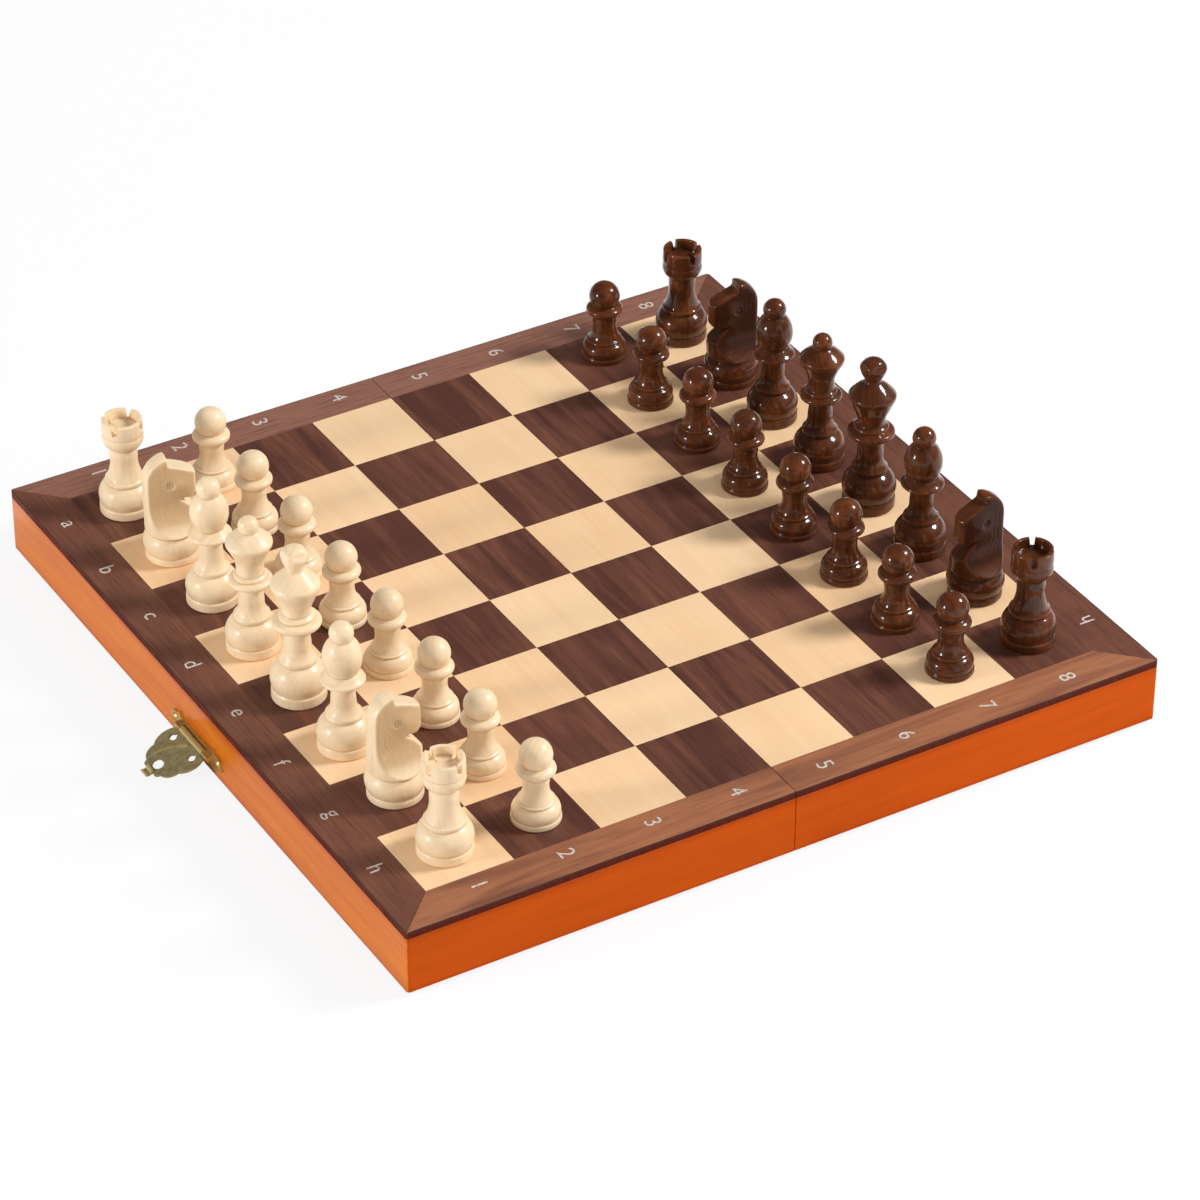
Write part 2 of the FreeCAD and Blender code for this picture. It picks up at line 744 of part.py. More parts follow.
def knight_flanks():
    """Flat flanks that run out to the round blank in a hollow above the base."""
    low = knight_base * knight_neck_shares[-1][1]
    rise = low + knight_flank_round
    half = knight_flank_half_width
    edge = half + knight_flank_round
    reach = knight_radius + cut_overrun
    top = knight_height + cut_overrun
    found = []
    for side in (-1, 1):
        corners = [
            vector(-reach, side * half, top),
            vector(-reach, side * half, rise),
            vector(-reach, side * edge, low),
            vector(-reach, side * (edge + reach), low),
            vector(-reach, side * (edge + reach), top),
        ]
        quarter = math.sqrt(0.5) - 0.5
        bows = [0, 0, side * quarter, 0, 0]
        found.append(outline(corners, bows, X).extrude(X * 2 * reach))
    return found


def knight_eyes():
    """Dimples in both flanks."""
    x_share, z_share = knight_eye_shares
    z = knight_base + z_share * (knight_height - knight_base)
    y = knight_flank_half_width + knight_eye_radius - knight_eye_depth
    x = x_share * knight_radius
    return [Part.makeSphere(knight_eye_radius, vector(x, side * y, z)) for side in (-1, 1)]


def stand(man, name, file, rank):
    """The man on its square: the white men look along +X, the black men along -X."""
    x, y = square_middle(file, rank)
    x_share, y_share = place_shares.get(name, (0, 0))
    facing = 0 if name.startswith("white") else 180
    placed = man.rotated(origin, Z, facing + turns.get(name, 0))
    foot = vector(x + x_share * square, y + y_share * square, board_top + stand_clearance)
    return placed.translated(foot)


def men():
    """Node name and solid of each man."""
    back_row = ["rook", "knight", "bishop", "queen", "king", "bishop", "knight", "rook"]
    shapes = {"rook": rook(), "knight": knight(), "bishop": bishop(), "queen": queen(), "king": king()}
    pawn_shape = pawn()
    found = {}
    for colour, back_rank, pawn_rank in (("white", 0, 1), ("black", rank_count - 1, rank_count - 2)):
        for file, kind in enumerate(back_row):
            name = f"{colour}_{kind}"
            if back_row.count(kind) > 1:
                name += "_" + file_letters[file]
            found[name] = stand(shapes[kind], name, file, back_rank)
            name = f"{colour}_pawn_{file_letters[file]}"
            found[name] = stand(pawn_shape, name, file, pawn_rank)
    return found


def board_half(colour, side):
    """Nodes of one half's tray and top."""
    ends = []
    for place in ("left", "right"):
        ends.append(mitred_strip(wall_thickness, 0, wall_height, place, wall_thickness))
    trims = []
    for place in ("outer", "left", "right"):
        trims.append(mitred_strip(border, panel_top, veneer_thickness, place, 0))
    return {
        f"{colour}_panel": on_side(half_block(wall_height, panel_thickness), side),
        f"{colour}_light_squares": squares(side, False),
        f"{colour}_dark_squares": squares(side, True),
        f"{colour}_border": group([on_side(trim, side) for trim in trims]),
        f"{colour}_outer_wall": outer_wall(side),
        f"{colour}_inner_wall": inner_wall(side),
        f"{colour}_end_walls": group([on_side(end, side) for end in ends]),
        f"{colour}_hinge_leaves": hinge_leaves(side),
        f"{colour}_hinge_screws": hinge_screws(side),
    }


def fittings():
    return {
        "hinge_pins": hinge_pins(),
        "hasp_plate": hasp_plate().translated(Y * hasp_offset),
        "hasp_leaf": hasp_leaf().translated(Y * hasp_offset),
        "hasp_pin": hasp_pin(hasp_pin_radius, 0).translated(Y * hasp_offset),
        "hasp_screws": hasp_screws(hasp_plate_thickness),
        "catch": catch().translated(Y * hasp_offset),
        "catch_screws": catch_screws(catch_plate_thickness),
    }


os.makedirs("parts", exist_ok=True)
nodes = {**board_half("white", -1), **board_half("black", 1), **fittings(), **men()}
for name, shape in nodes.items():
    shape.exportStep(f"parts/{name}.step")
print(len(nodes), "nodes")
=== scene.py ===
import json
import math

import bmesh
import bpy
import numpy as np
from mathutils import Matrix, Vector


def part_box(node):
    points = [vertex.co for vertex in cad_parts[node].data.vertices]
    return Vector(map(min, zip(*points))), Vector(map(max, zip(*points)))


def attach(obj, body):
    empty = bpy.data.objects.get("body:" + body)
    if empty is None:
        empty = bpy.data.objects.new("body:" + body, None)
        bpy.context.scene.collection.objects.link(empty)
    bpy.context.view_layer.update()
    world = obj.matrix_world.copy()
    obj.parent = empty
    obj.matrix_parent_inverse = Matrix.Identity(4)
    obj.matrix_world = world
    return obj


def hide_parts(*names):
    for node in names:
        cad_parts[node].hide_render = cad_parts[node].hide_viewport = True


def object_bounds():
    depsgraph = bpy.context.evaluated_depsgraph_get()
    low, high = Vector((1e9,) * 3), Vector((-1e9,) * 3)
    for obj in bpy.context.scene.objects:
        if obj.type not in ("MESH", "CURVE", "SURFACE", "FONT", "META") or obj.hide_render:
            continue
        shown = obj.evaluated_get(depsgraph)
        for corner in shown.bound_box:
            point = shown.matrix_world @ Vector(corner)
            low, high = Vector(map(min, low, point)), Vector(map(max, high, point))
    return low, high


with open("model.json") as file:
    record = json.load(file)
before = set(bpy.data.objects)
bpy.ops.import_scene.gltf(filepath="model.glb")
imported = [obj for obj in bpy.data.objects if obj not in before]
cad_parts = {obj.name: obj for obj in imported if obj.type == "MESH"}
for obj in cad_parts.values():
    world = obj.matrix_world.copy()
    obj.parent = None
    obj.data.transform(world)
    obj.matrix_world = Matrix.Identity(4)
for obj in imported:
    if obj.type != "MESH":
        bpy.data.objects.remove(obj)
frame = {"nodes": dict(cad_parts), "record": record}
cad_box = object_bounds()

# Finishes, printed coordinates, men and studio of a folding chess board that closes into a storage box.
# The board stands open on its rims: +X runs from the white side to the black side, +Y to the a file, +Z up.

bl_info = {
    "name": "Folding chess board",
    "version": (1, 0, 0),
    "blender": (4, 5, 0),
    "location": "View3D > Sidebar > Chess board",
    "description": "Wood finishes, printed coordinates, men and studio of a folding chess board",
    "category": "Object",
}

MM = 0.001
FILES = "abcdefgh"
RANKS = "12345678"
HALVES = {"white": -1, "black": 1}

# Sizes that the frame gives
squares_low, squares_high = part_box("white_light_squares")
panel_low, panel_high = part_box("white_panel")
SQUARE = (squares_high.y - squares_low.y) / len(FILES)
SEAM = -squares_high.x
BORDER = squares_low.x - panel_low.x
HALF_WIDTH = panel_high.y
OUTER_X = -panel_low.x
BOARD_TOP = squares_high.z
PANEL_LOW = panel_low.z
joints = {joint["name"]: joint for joint in frame["record"]["behaviour"]["joints"]}
HASP_PIVOT = Vector(joints["hasp_swing"]["pos_m"])

# How the hasp's leaf stands at rest: angle below level, and half its thickness in millimetres
LEAF_DROOP = math.radians(20.0)
LEAF_HALF_THICKNESS = 0.35

# Turned outlines: each station is a radius share of the foot, a height share of the base or of what stands
# above it, and the bow of the stretch that ends there, as a share of its chord, outwards if positive
FOOT = [(0.93, 0.0, 0.0), (1.0, 0.05, 0.2), (0.99, 0.2, 0.0), (0.945, 0.255, 0.2), (0.93, 0.275, 0.0)]
RING = [(0.97, 0.86, 0.2), (1.03, 0.89, 0.0), (1.03, 0.96, 0.0), (0.93, 1.0, 0.0)]
BALL = 0.5
PAWN = [
    (0.53, 0.31, -0.1),
    (0.52, 0.395, 0.0),
    (0.735, 0.465, -0.12),
    (0.735, 0.565, 0.22),
    (0.53, 0.605, 0.05),
    (0.0, 1.0, BALL),
]
ROOK = [
    (0.52, 0.38, -0.07),
    (0.5, 0.52, 0.0),
    (0.76, 0.725, 0.17),
    (0.76, 0.745, 0.0),
    (0.735, 0.755, 0.0),
    (0.755, 0.77, 0.0),
    (0.745, 0.97, 0.02),
    (0.715, 1.0, 0.2),
    (0.6, 1.0, 0.0),
    (0.56, 0.86, 0.0),
    (0.0, 0.84, 0.0),
]
BISHOP = [
    (0.46, 0.135, -0.09),
    (0.42, 0.32, 0.0),
    (0.78, 0.345, -0.1),
    (0.77, 0.385, 0.3),
    (0.6, 0.435, -0.05),
    (0.53, 0.45, 0.0),
    (0.38, 0.82, 0.19),
    (0.0, 1.0, BALL),
]
QUEEN = [
    (0.48, 0.13, -0.09),
    (0.41, 0.295, 0.0),
    (0.74, 0.315, -0.1),
    (0.74, 0.37, 0.3),
    (0.6, 0.385, 0.0),
    (0.58, 0.41, 0.3),
    (0.51, 0.425, 0.0),
    (0.53, 0.55, -0.03),
    (0.83, 0.71, -0.02),
    (0.85, 0.73, 0.1),
    (0.81, 0.762, 0.2),
    (0.38, 0.85, 0.04),
    (0.33, 0.862, 0.0),
    (0.0, 1.0, BALL),
]
KING = [
    (0.5, 0.11, -0.09),
    (0.44, 0.267, 0.0),
    (0.82, 0.286, -0.1),
    (0.82, 0.34, 0.3),
    (0.63, 0.355, 0.0),
    (0.6, 0.382, 0.3),
    (0.51, 0.4, 0.0),
    (0.56, 0.47, -0.02),
    (0.85, 0.622, 0.0),
    (0.875, 0.645, 0.1),
    (0.84, 0.68, 0.2),
    (0.36, 0.78, 0.03),
    (0.3, 0.8, -0.1),
    (0.34, 0.828, -0.1),
    (0.5, 0.9, 0.04),
    (0.4, 0.962, 0.14),
    (0.0, 1.0, BALL),
]
# Height of the turned base, the ring's share of the foot's radius, and the stations above
TURNED = {
    "pawn": (8.2, 0.74, PAWN),
    "rook": (13.9, 0.73, ROOK),
    "bishop": (14.6, 0.66, BISHOP),
    "queen": (14.6, 0.66, QUEEN),
    "king": (16.8, 0.66, KING),
}

# Rows along a turned outline, how much they crowd at its bends, and columns round it
TURNED_ROWS = 120
TURNED_CROWDING = 2.5
TURNED_COLUMNS = 88
# Bend of an outline, per millimetre, that counts as a full edge or groove
FULL_BEND = 1.6

# Rook's battlements in millimetres, and each rook's turn in degrees
ROOK_SLOTS = 4
ROOK_SLOT_WIDTH = 2.0
ROOK_SLOT_DEPTH = 3.6
ROOK_SLOT_EASE = 0.25
ROOK_TURNS = {"white_rook_a": 42.0, "white_rook_h": 18.0, "black_rook_h": 59.0}

# King's cross knob: shares of the foot's radius, and for the heights of what stands above the base
CROSS_NOTCH_SHARE = 0.17
CROSS_SIDE_SHARE = 0.52
CROSS_FLAT_SHARE = 0.4
CROSS_NOTCH_HEIGHTS = (0.845, 0.957)
CROSS_LOW_HEIGHT = 0.815

# Place of a man in its billet, in millimetres: nearest and farthest pith, and the billet's length
PITH_NEAR, PITH_FAR = 7, 13
BILLET_LENGTH = 900

# Knights, in millimetres: each one's turn in degrees, half the sawn thickness and the round body's radius
KNIGHT_TURNS = {
    "white_knight_b": -10.0,
    "white_knight_g": 2.0,
    "black_knight_b": 174.0,
    "black_knight_g": 184.0,
}
KNIGHT_FLANK = 3.4
KNIGHT_BODY = 9.31
# Flare: low end, high end, reach and power; muzzle: where it starts and ends to narrow, and by what share
KNIGHT_FLARE = (11.4, 25.0, 6.2, 2.8)
KNIGHT_MUZZLE = (5.0, 9.0, 0.25)
# Cheek: x, z, width and share of swelling; eye: x, z and radius of its ring; depth and width of ring and dot
KNIGHT_CHEEK = (2.6, 29.6, 7.5, 0.3)
KNIGHT_EYE = (-0.58, 30.1, 1.15)
KNIGHT_EYE_CUTS = ((0.4, 0.32), (0.25, 0.4))
# Mane: depth of its cuts and step between them; where they start, are full, fade and end along x and z
KNIGHT_MANE = (0.07, 1.7)
KNIGHT_MANE_X = (-7.5, -6.5, -3.1, -1.6)
KNIGHT_MANE_Z = (14.0, 19.0, 33.0, 36.0)
# Sanding: passes, and the heights between which its share grows from the first to the second
KNIGHT_SANDING = 24
KNIGHT_SANDED_Z = (10.5, 13.0)
KNIGHT_SANDED_SHARE = (0.1, 0.5)

# Studio, in metres: half the floor's side, each lamp's place and width, and what the camera looks at
FLOOR_REACH = 4.0
KEY_LAMP = ((1.05, -0.45, 1.0), 0.34)
FILL_LAMP = ((-1.5, 0.1, 0.45), 0.3)
FRONT_LAMP = ((0.25, -1.9, 0.5), 1.6)
CAMERA_AIM = Vector((0.00032, -0.01902, BOARD_TOP))
# Camera's sensor, in millimetres
SENSOR_WIDTH = 36.0
# Share of the floor that the camera looks through, and from where to where it grows to all, in millimetres
FLOOR_CLEAR = 0.87
FLOOR_FADE = (300.0, 800.0)
# Room in reflections: full brightness at the horizon, falling to this light at this height and above it
OVERHEAD_HEIGHT = 0.1
OVERHEAD_LIGHT = 0.12


def tint(code):
    """Scene-linear colour of a six-digit web colour."""
    steps = np.array([int(code[i : i + 2], 16) for i in (0, 2, 4)]) / 255
    linear = np.where(steps <= 0.04045, steps / 12.92, ((steps + 0.055) / 1.055) ** 2.4)
    return tuple(float(step) for step in linear)


def length(name, text, default):
    return bpy.props.FloatProperty(
        name=name, description=text, default=default, unit="LENGTH", subtype="DISTANCE", precision=5
    )


def colour(name, text, code):
    return bpy.props.FloatVectorProperty(
        name=name, description=text, default=tint(code), subtype="COLOR", size=3, min=0.0, max=1.0
    )


def angle(name, text, degrees):
    return bpy.props.FloatProperty(
        name=name, description=text, default=math.radians(degrees), unit="ROTATION", subtype="ANGLE"
    )


def number(name, text, default):
    return bpy.props.FloatProperty(name=name, description=text, default=default)


class ChessVeneers(bpy.types.PropertyGroup):
    """Top of the board."""

    light: colour("Light square", "Light veneer between its fibres", "F7D3A8")
    light_fibre: colour("Light fibre", "Fibres of the light veneer", "E8BB8A")
    dark: colour("Dark square", "Dark veneer", "573128")
    dark_streak: colour("Dark streak", "Streaks of the dark veneer", "351811")
    dark_glow: colour("Dark glow", "Paler bands of the dark veneer", "7B4C3A")
    border: colour("Border", "Border strips", "6E4436")
    # Painted light: the strip beside the h file is painted lighter, standing in for the light falling on it
    painted_lit_strip: colour("Painted lit strip", "The border strips beside the h file", "A86C4A")
    # Painted sheen: the strips beside the a file are painted lighter, standing in for a reflection on them
    far: colour("Painted sheen strip", "The border strips beside the a file", "9A6B5A")
    rim: colour("Rim", "Stain on the outer edge of the border", "2E120D")
    rim_width: length("Rim width", "Width of the stained outer edge", 0.0004)
    square: length("Square", "Side of one square", SQUARE)


class ChessTrays(bpy.types.PropertyGroup):
    """Walls and panels."""

    stain: colour("Stain", "Orange stain of the end walls", "CB550E")
    # Painted light: the outer and inner walls get a paler, yellower stain than the end walls, standing in for
    # the light and sheen on them
    stain_painted_lit: colour("Painted lit stain", "Orange stain of the outer and inner walls", "DB7709")
    # The deep stain also serves as the painted shade under the panel on the walls
    stain_deep_and_shade: colour("Deep stain and shade", "Stain where the grain drinks more of it", "AE4206")
    edge: colour("Panel edge", "Edge of the top panel", "561E12")
    inside: colour("Inside", "Underside of the panel, in the box", "C79C6B")


class ChessMen(bpy.types.PropertyGroup):
    """Turned and carved men."""

    pale: colour("Pale wood", "Pale men", "F9E0BA")
    pale_ring: colour("Pale ring", "Growth rings of the pale wood", "E6C093")
    # Painted shade: the grooves of the pale men are darkened towards this colour
    pale_groove_shade: colour("Pale groove shade", "Grooves of the pale men", "C4935E")
    pale_flank: colour("Pale flank", "Sawn flanks of the pale knights", "D3B084")
    dark: colour("Dark wood", "Dark men", "5C2D10")
    dark_ring: colour("Dark ring", "Growth rings of the dark wood", "2B1206")
    dark_rub: colour("Dark edge", "Paler heartwood and worn edges of the dark men", "86461F")
    dark_flank: colour("Dark flank", "Sawn flanks of the dark knights", "391A0B")
    ease: length("Eased edge", "How far sanding rounds the turned edges", 0.00022)
    voxel: length("Carving step", "Mesh step of the carved knights", 0.00028)


class ChessMetal(bpy.types.PropertyGroup):
    """Hinges, hasp and catch."""

    brass: colour("Brass", "Polished brass", "EBCB86")
    brass_dull: colour("Dull brass", "Brass where hands have dulled it", "BC9852")
    aged: colour("Aged brass", "Thin pressed brass of the leaf", "BDB080")
    aged_dark: colour("Patina", "Patina on the aged brass", "8A7F55")


class ChessPrint(bpy.types.PropertyGroup):
    """Letters and numbers on the border."""

    ink: colour("Ink", "White ink", "D9CFC8")
    worn: colour("Worn ink", "Ink where the wood shows through", "8F766B")
    size: length("Type size", "Size of the type", 0.0084)
    lift: length("Ink thickness", "How far the ink stands on the veneer", 0.00004)
    slip: length("Slip", "How far the white half's print has slipped towards the a file", 0.0022)


class ChessStudio(bpy.types.PropertyGroup):
    """Camera and lights."""

    azimuth: angle("Azimuth", "Camera's turn round the board", -30.83)
    elevation: angle("Elevation", "Camera's height over the horizon", 35.108)
    roll: angle("Roll", "Camera's roll", 0.245)
    distance: length("Distance", "From the camera to the point that it looks at", 1.744)
    lens: number("Lens", "Focal length in millimetres on a 36 mm sensor", 152.385)
    floor: colour("Floor", "Pale floor", "FAFAFA")
    key: number("Key", "Watts of the soft lamp on the right", 19.0)
    fill: number("Fill", "Watts of the soft lamp on the left", 11.5)
    front: number("Front", "Watts of the soft lamp in front", 6.0)
    room: number("Room", "Brightness of the room", 0.4)


# Materials


class Nodes:
    """Builds the nodes of one tree. An input is a value or the output of another node."""

    def __init__(self, tree):
        self.tree = tree

    def node(self, kind, inputs=None, **settings):
        made = self.tree.nodes.new(kind)
        for name, value in settings.items():
            setattr(made, name, value)
        for socket, value in (inputs or {}).items():
            self.feed(made.inputs[socket], value)
        return made

    def feed(self, socket, value):
        if isinstance(value, bpy.types.NodeSocket):
            self.tree.links.new(value, socket)
        elif socket.type == "RGBA":
            socket.default_value = (*value, 1.0)
        else:
            socket.default_value = value

    def math(self, operation, first, second=0.0, clamp=False):
        inputs = {0: first, 1: second}
        return self.node("ShaderNodeMath", inputs, operation=operation, use_clamp=clamp).outputs[0]

    def total(self, *terms):
        """Sum of (weight, value) terms."""
        found = None
        for weight, value in terms:
            part = self.math("MULTIPLY", value, weight)
            found = part if found is None else self.math("ADD", found, part)
        return found

    def mix(self, share, first, second):
        made = self.node("ShaderNodeMix", data_type="RGBA")
        self.feed(made.inputs[0], share)
        self.feed(made.inputs[6], first)
        self.feed(made.inputs[7], second)
        return made.outputs[2]

    def choose(self, share, first, second):
        """Number between two numbers."""
        made = self.node("ShaderNodeMix", {0: share, 2: first, 3: second}, data_type="FLOAT")
        return made.outputs[0]

    def point(self, x, y, z=0.0):
        return self.node("ShaderNodeCombineXYZ", {0: x, 1: y, 2: z}).outputs[0]

    def split(self, vector):
        return self.node("ShaderNodeSeparateXYZ", {0: vector}).outputs

    def stretch(self, vector, factors):
        """Vector with each coordinate multiplied by its own factor."""
        return self.node("ShaderNodeVectorMath", {0: vector, 1: factors}, operation="MULTIPLY").outputs[0]

    def millimetres(self):
        """The piece's own coordinates in millimetres."""
        return self.stretch(self.node("ShaderNodeTexCoord").outputs["Object"], (1 / MM,) * 3)

    def attribute(self, name, output):
        return self.node("ShaderNodeAttribute", attribute_name=name).outputs[output]

    def noise(self, where, scale=1.0, detail=2.0, rough=0.5, warp=0.0):
        inputs = {"Vector": where, "Scale": scale, "Detail": detail, "Roughness": rough, "Distortion": warp}
        return self.node("ShaderNodeTexNoise", inputs).outputs["Fac"]

    def spread(self, value, low, high, to_low=0.0, to_high=1.0):
        """value taken from one range to another, and held inside it."""
        inputs = {0: value, 1: low, 2: high, 3: to_low, 4: to_high}
        return self.node("ShaderNodeMapRange", inputs).outputs[0]

    def near(self, value, middle, width):
        """1 at middle, falling to 0 at width from it."""
        away = self.math("ABSOLUTE", self.math("SUBTRACT", value, middle))
        return self.spread(away, 0.0, width, 1.0, 0.0)


class Finish(Nodes):
    """One procedural material, built node by node round its shader."""

    def __init__(self, name, **values):
        self.material = bpy.data.materials.new(name)
        self.material.use_nodes = True
        super().__init__(self.material.node_tree)
        self.shader = self.tree.nodes["Principled BSDF"]
        for socket, value in values.items():
            self.shader.inputs[socket.replace("_", " ")].default_value = value

    def bump(self, height, strength, distance=0.00005):
        made = self.node("ShaderNodeBump", {"Height": height, "Strength": strength, "Distance": distance})
        self.feed(self.shader.inputs["Normal"], made.outputs[0])

    def finish(self, colour, rough):
        self.feed(self.shader.inputs["Base Color"], colour)
        self.feed(self.shader.inputs["Roughness"], rough)
        return self.material


def grain(make, across, along, shift):
    """Figure, fibre and pores of a veneer: noise stretched along the grain, 7 mm, 0.9 mm and 0.3 mm wide."""
    found = []
    for wide, long, detail, warp in ((7.0, 75.0, 2.0, 0.7), (0.9, 26.0, 3.0, 0.3), (0.32, 7.0, 1.0, 0.0)):
        place = make.point(make.math("DIVIDE", across, wide), make.math("DIVIDE", along, long), shift)
        found.append(make.noise(place, 1.0, detail, 0.55, warp))
    return found


def square_grain(make, square):
    """A random number for each square of the board, and the grain along the ranks that it shifts."""
    x, y, z = make.split(make.millimetres())
    inward = make.math("SUBTRACT", x, make.math("MULTIPLY", make.math("SIGN", x), SEAM / MM))
    column = make.math("FLOOR", make.math("DIVIDE", inward, square / MM))
    row = make.math("FLOOR", make.math("DIVIDE", y, square / MM))
    made = make.node("ShaderNodeTexWhiteNoise", {"Vector": make.point(column, row)}, noise_dimensions="3D")
    chance = made.outputs["Value"]
    return chance, *grain(make, x, y, make.math("MULTIPLY", chance, 90.0))


def edge_reach(make, x, y):
    """Distances from the board's outer edges along X and along Y, and 1 where the one along Y is shorter."""
    from_x = make.math("SUBTRACT", OUTER_X / MM, make.math("ABSOLUTE", x))
    from_y = make.math("SUBTRACT", HALF_WIDTH / MM, make.math("ABSOLUTE", y))
    return from_x, from_y, make.math("LESS_THAN", from_y, from_x)


def light_veneer(looks):
    """Even pale veneer with faint fibres, a little different on each square."""
    make = Finish("light_square_veneer", Specular_IOR_Level=0.3)
    chance, figure, fibre, pores = square_grain(make, looks.square)
    tone = make.total((0.4, figure), (0.35, fibre), (0.3, chance))
    colours = make.mix(make.spread(tone, 0.3, 0.9), looks.light, looks.light_fibre)
    make.bump(pores, 0.05)
    return make.finish(colours, make.spread(fibre, 0.3, 0.7, 0.42, 0.52))


def dark_veneer(looks):
    """Dark veneer with streaks and paler bands along the ranks, different on each square."""
    make = Finish("dark_square_veneer", Specular_IOR_Level=0.3)
    chance, figure, fibre, pores = square_grain(make, looks.square)
    body = make.mix(make.spread(figure, 0.42, 0.72), looks.dark, looks.dark_glow)
    streaks = make.total((0.6, make.spread(fibre, 0.52, 0.72)), (0.35, make.spread(pores, 0.56, 0.7)))
    colours = make.mix(make.math("MULTIPLY", streaks, 0.75), body, looks.dark_streak)
    tone = make.spread(chance, 0.0, 1.0, 0.0, 0.3)
    make.bump(pores, 0.12)
    return make.finish(make.mix(tone, colours, looks.dark_glow), make.spread(fibre, 0.3, 0.7, 0.4, 0.52))


def border_veneer(looks):
    """Dark strips with the grain along each one. The strip on the h file's side is painted lighter, and the
    strip on the a file's side carries a painted sheen: both are painted light. The rim is stained."""
    make = Finish("border_strip_veneer", Specular_IOR_Level=0.3)
    x, y, z = make.split(make.millimetres())
    from_x, from_y, side = edge_reach(make, x, y)
    across = make.choose(side, x, y)
    along = make.choose(side, y, x)
    half = make.math("MULTIPLY", make.math("SIGN", x), 17.0)
    figure, fibre, pores = grain(make, across, along, half)
    # Painted light: the strip beside the h file takes the lighter colours below
    painted_lit_mask = make.math("MULTIPLY", side, make.math("LESS_THAN", y, 0.0))
    body = make.mix(make.spread(figure, 0.35, 0.72), looks.border, looks.dark_glow)
    # Painted sheen: the strip beside the a file is mixed towards its lighter colour
    body = make.mix(make.math("MULTIPLY", make.math("SUBTRACT", side, painted_lit_mask), 0.8), body, looks.far)
    # pale and bright are the h file's strip in its painted lighter colours
    pale = make.mix(make.spread(figure, 0.4, 0.7), looks.painted_lit_strip, looks.dark_glow)
    streaks = make.total((0.6, make.spread(fibre, 0.5, 0.7)), (0.4, make.spread(pores, 0.54, 0.7)))
    dark = make.mix(make.math("MULTIPLY", streaks, 0.7), body, looks.dark_streak)
    bright = make.mix(make.math("MULTIPLY", streaks, 0.7), pale, looks.border)
    colours = make.mix(painted_lit_mask, dark, bright)
    edge = make.math("ADD", make.math("MINIMUM", from_x, from_y), make.math("MULTIPLY", fibre, 0.5))
    width = looks.rim_width / MM
    rim = make.spread(edge, width, 1.35 * width, 1.0, 0.0)
    mitre = make.near(make.math("SUBTRACT", from_x, from_y), 0.0, 0.22)
    seams = make.math("MAXIMUM", rim, make.math("MULTIPLY", mitre, 0.7))
    make.bump(pores, 0.15)
    return make.finish(make.mix(seams, colours, looks.rim), make.spread(fibre, 0.3, 0.7, 0.38, 0.5))


def panel_wood(looks):
    """Dark stained edge outside, plain wood where the panel closes the box."""
    make = Finish("panel_stain", Specular_IOR_Level=0.03)
    x, y, z = make.split(make.millimetres())
    figure, fibre, pores = grain(make, x, y, 3.0)
    bare = make.mix(make.spread(fibre, 0.35, 0.7), looks.inside, looks.stain_deep_and_shade)
    bare = make.mix(0.75, bare, looks.inside)
    edge = make.mix(make.spread(pores, 0.45, 0.75), looks.edge, looks.stain_deep_and_shade)
    edge = make.mix(0.8, edge, looks.edge)
    outside = make.math("GREATER_THAN", z, PANEL_LOW / MM + 0.05)
    make.bump(fibre, 0.1)
    return make.finish(make.mix(outside, bare, edge), make.spread(fibre, 0.3, 0.7, 0.35, 0.5))


def stained_wood(looks):
    """Orange stain under lacquer: long faint streaks along each wall, darker towards the bottom edge, and
    painted shade under the panel. The outer and inner walls take a paler stain, which is painted light."""
    make = Finish("wall_stain", Specular_IOR_Level=0.02, Coat_Roughness=0.15)
    x, y, z = make.split(make.millimetres())
    from_x, from_y, side = edge_reach(make, x, y)
    along = make.choose(side, y, x)
    figure, fibre, pores = grain(make, z, along, make.math("MULTIPLY", side, 11.0))
    # low: darker towards the bottom edge. high: painted shade under the panel
    low = make.spread(z, 0.0, 1.6, 0.5, 0.0)
    high = make.spread(z, PANEL_LOW / MM - 2.5, PANEL_LOW / MM, 0.0, 0.6)
    tone = make.total((0.45, make.spread(figure, 0.35, 0.75)), (0.2, make.spread(fibre, 0.45, 0.75)))
    tone = make.math("ADD", tone, make.math("ADD", low, high), clamp=True)
    make.bump(fibre, 0.06)
    make.feed(make.shader.inputs["Coat Weight"], make.choose(side, 0.8, 0.04))
    # Painted light: the outer and inner walls take the paler stain
    stain = make.mix(side, looks.stain_painted_lit, looks.stain)
    return make.finish(make.mix(tone, stain, looks.stain_deep_and_shade), make.spread(fibre, 0.3, 0.7, 0.3, 0.42))


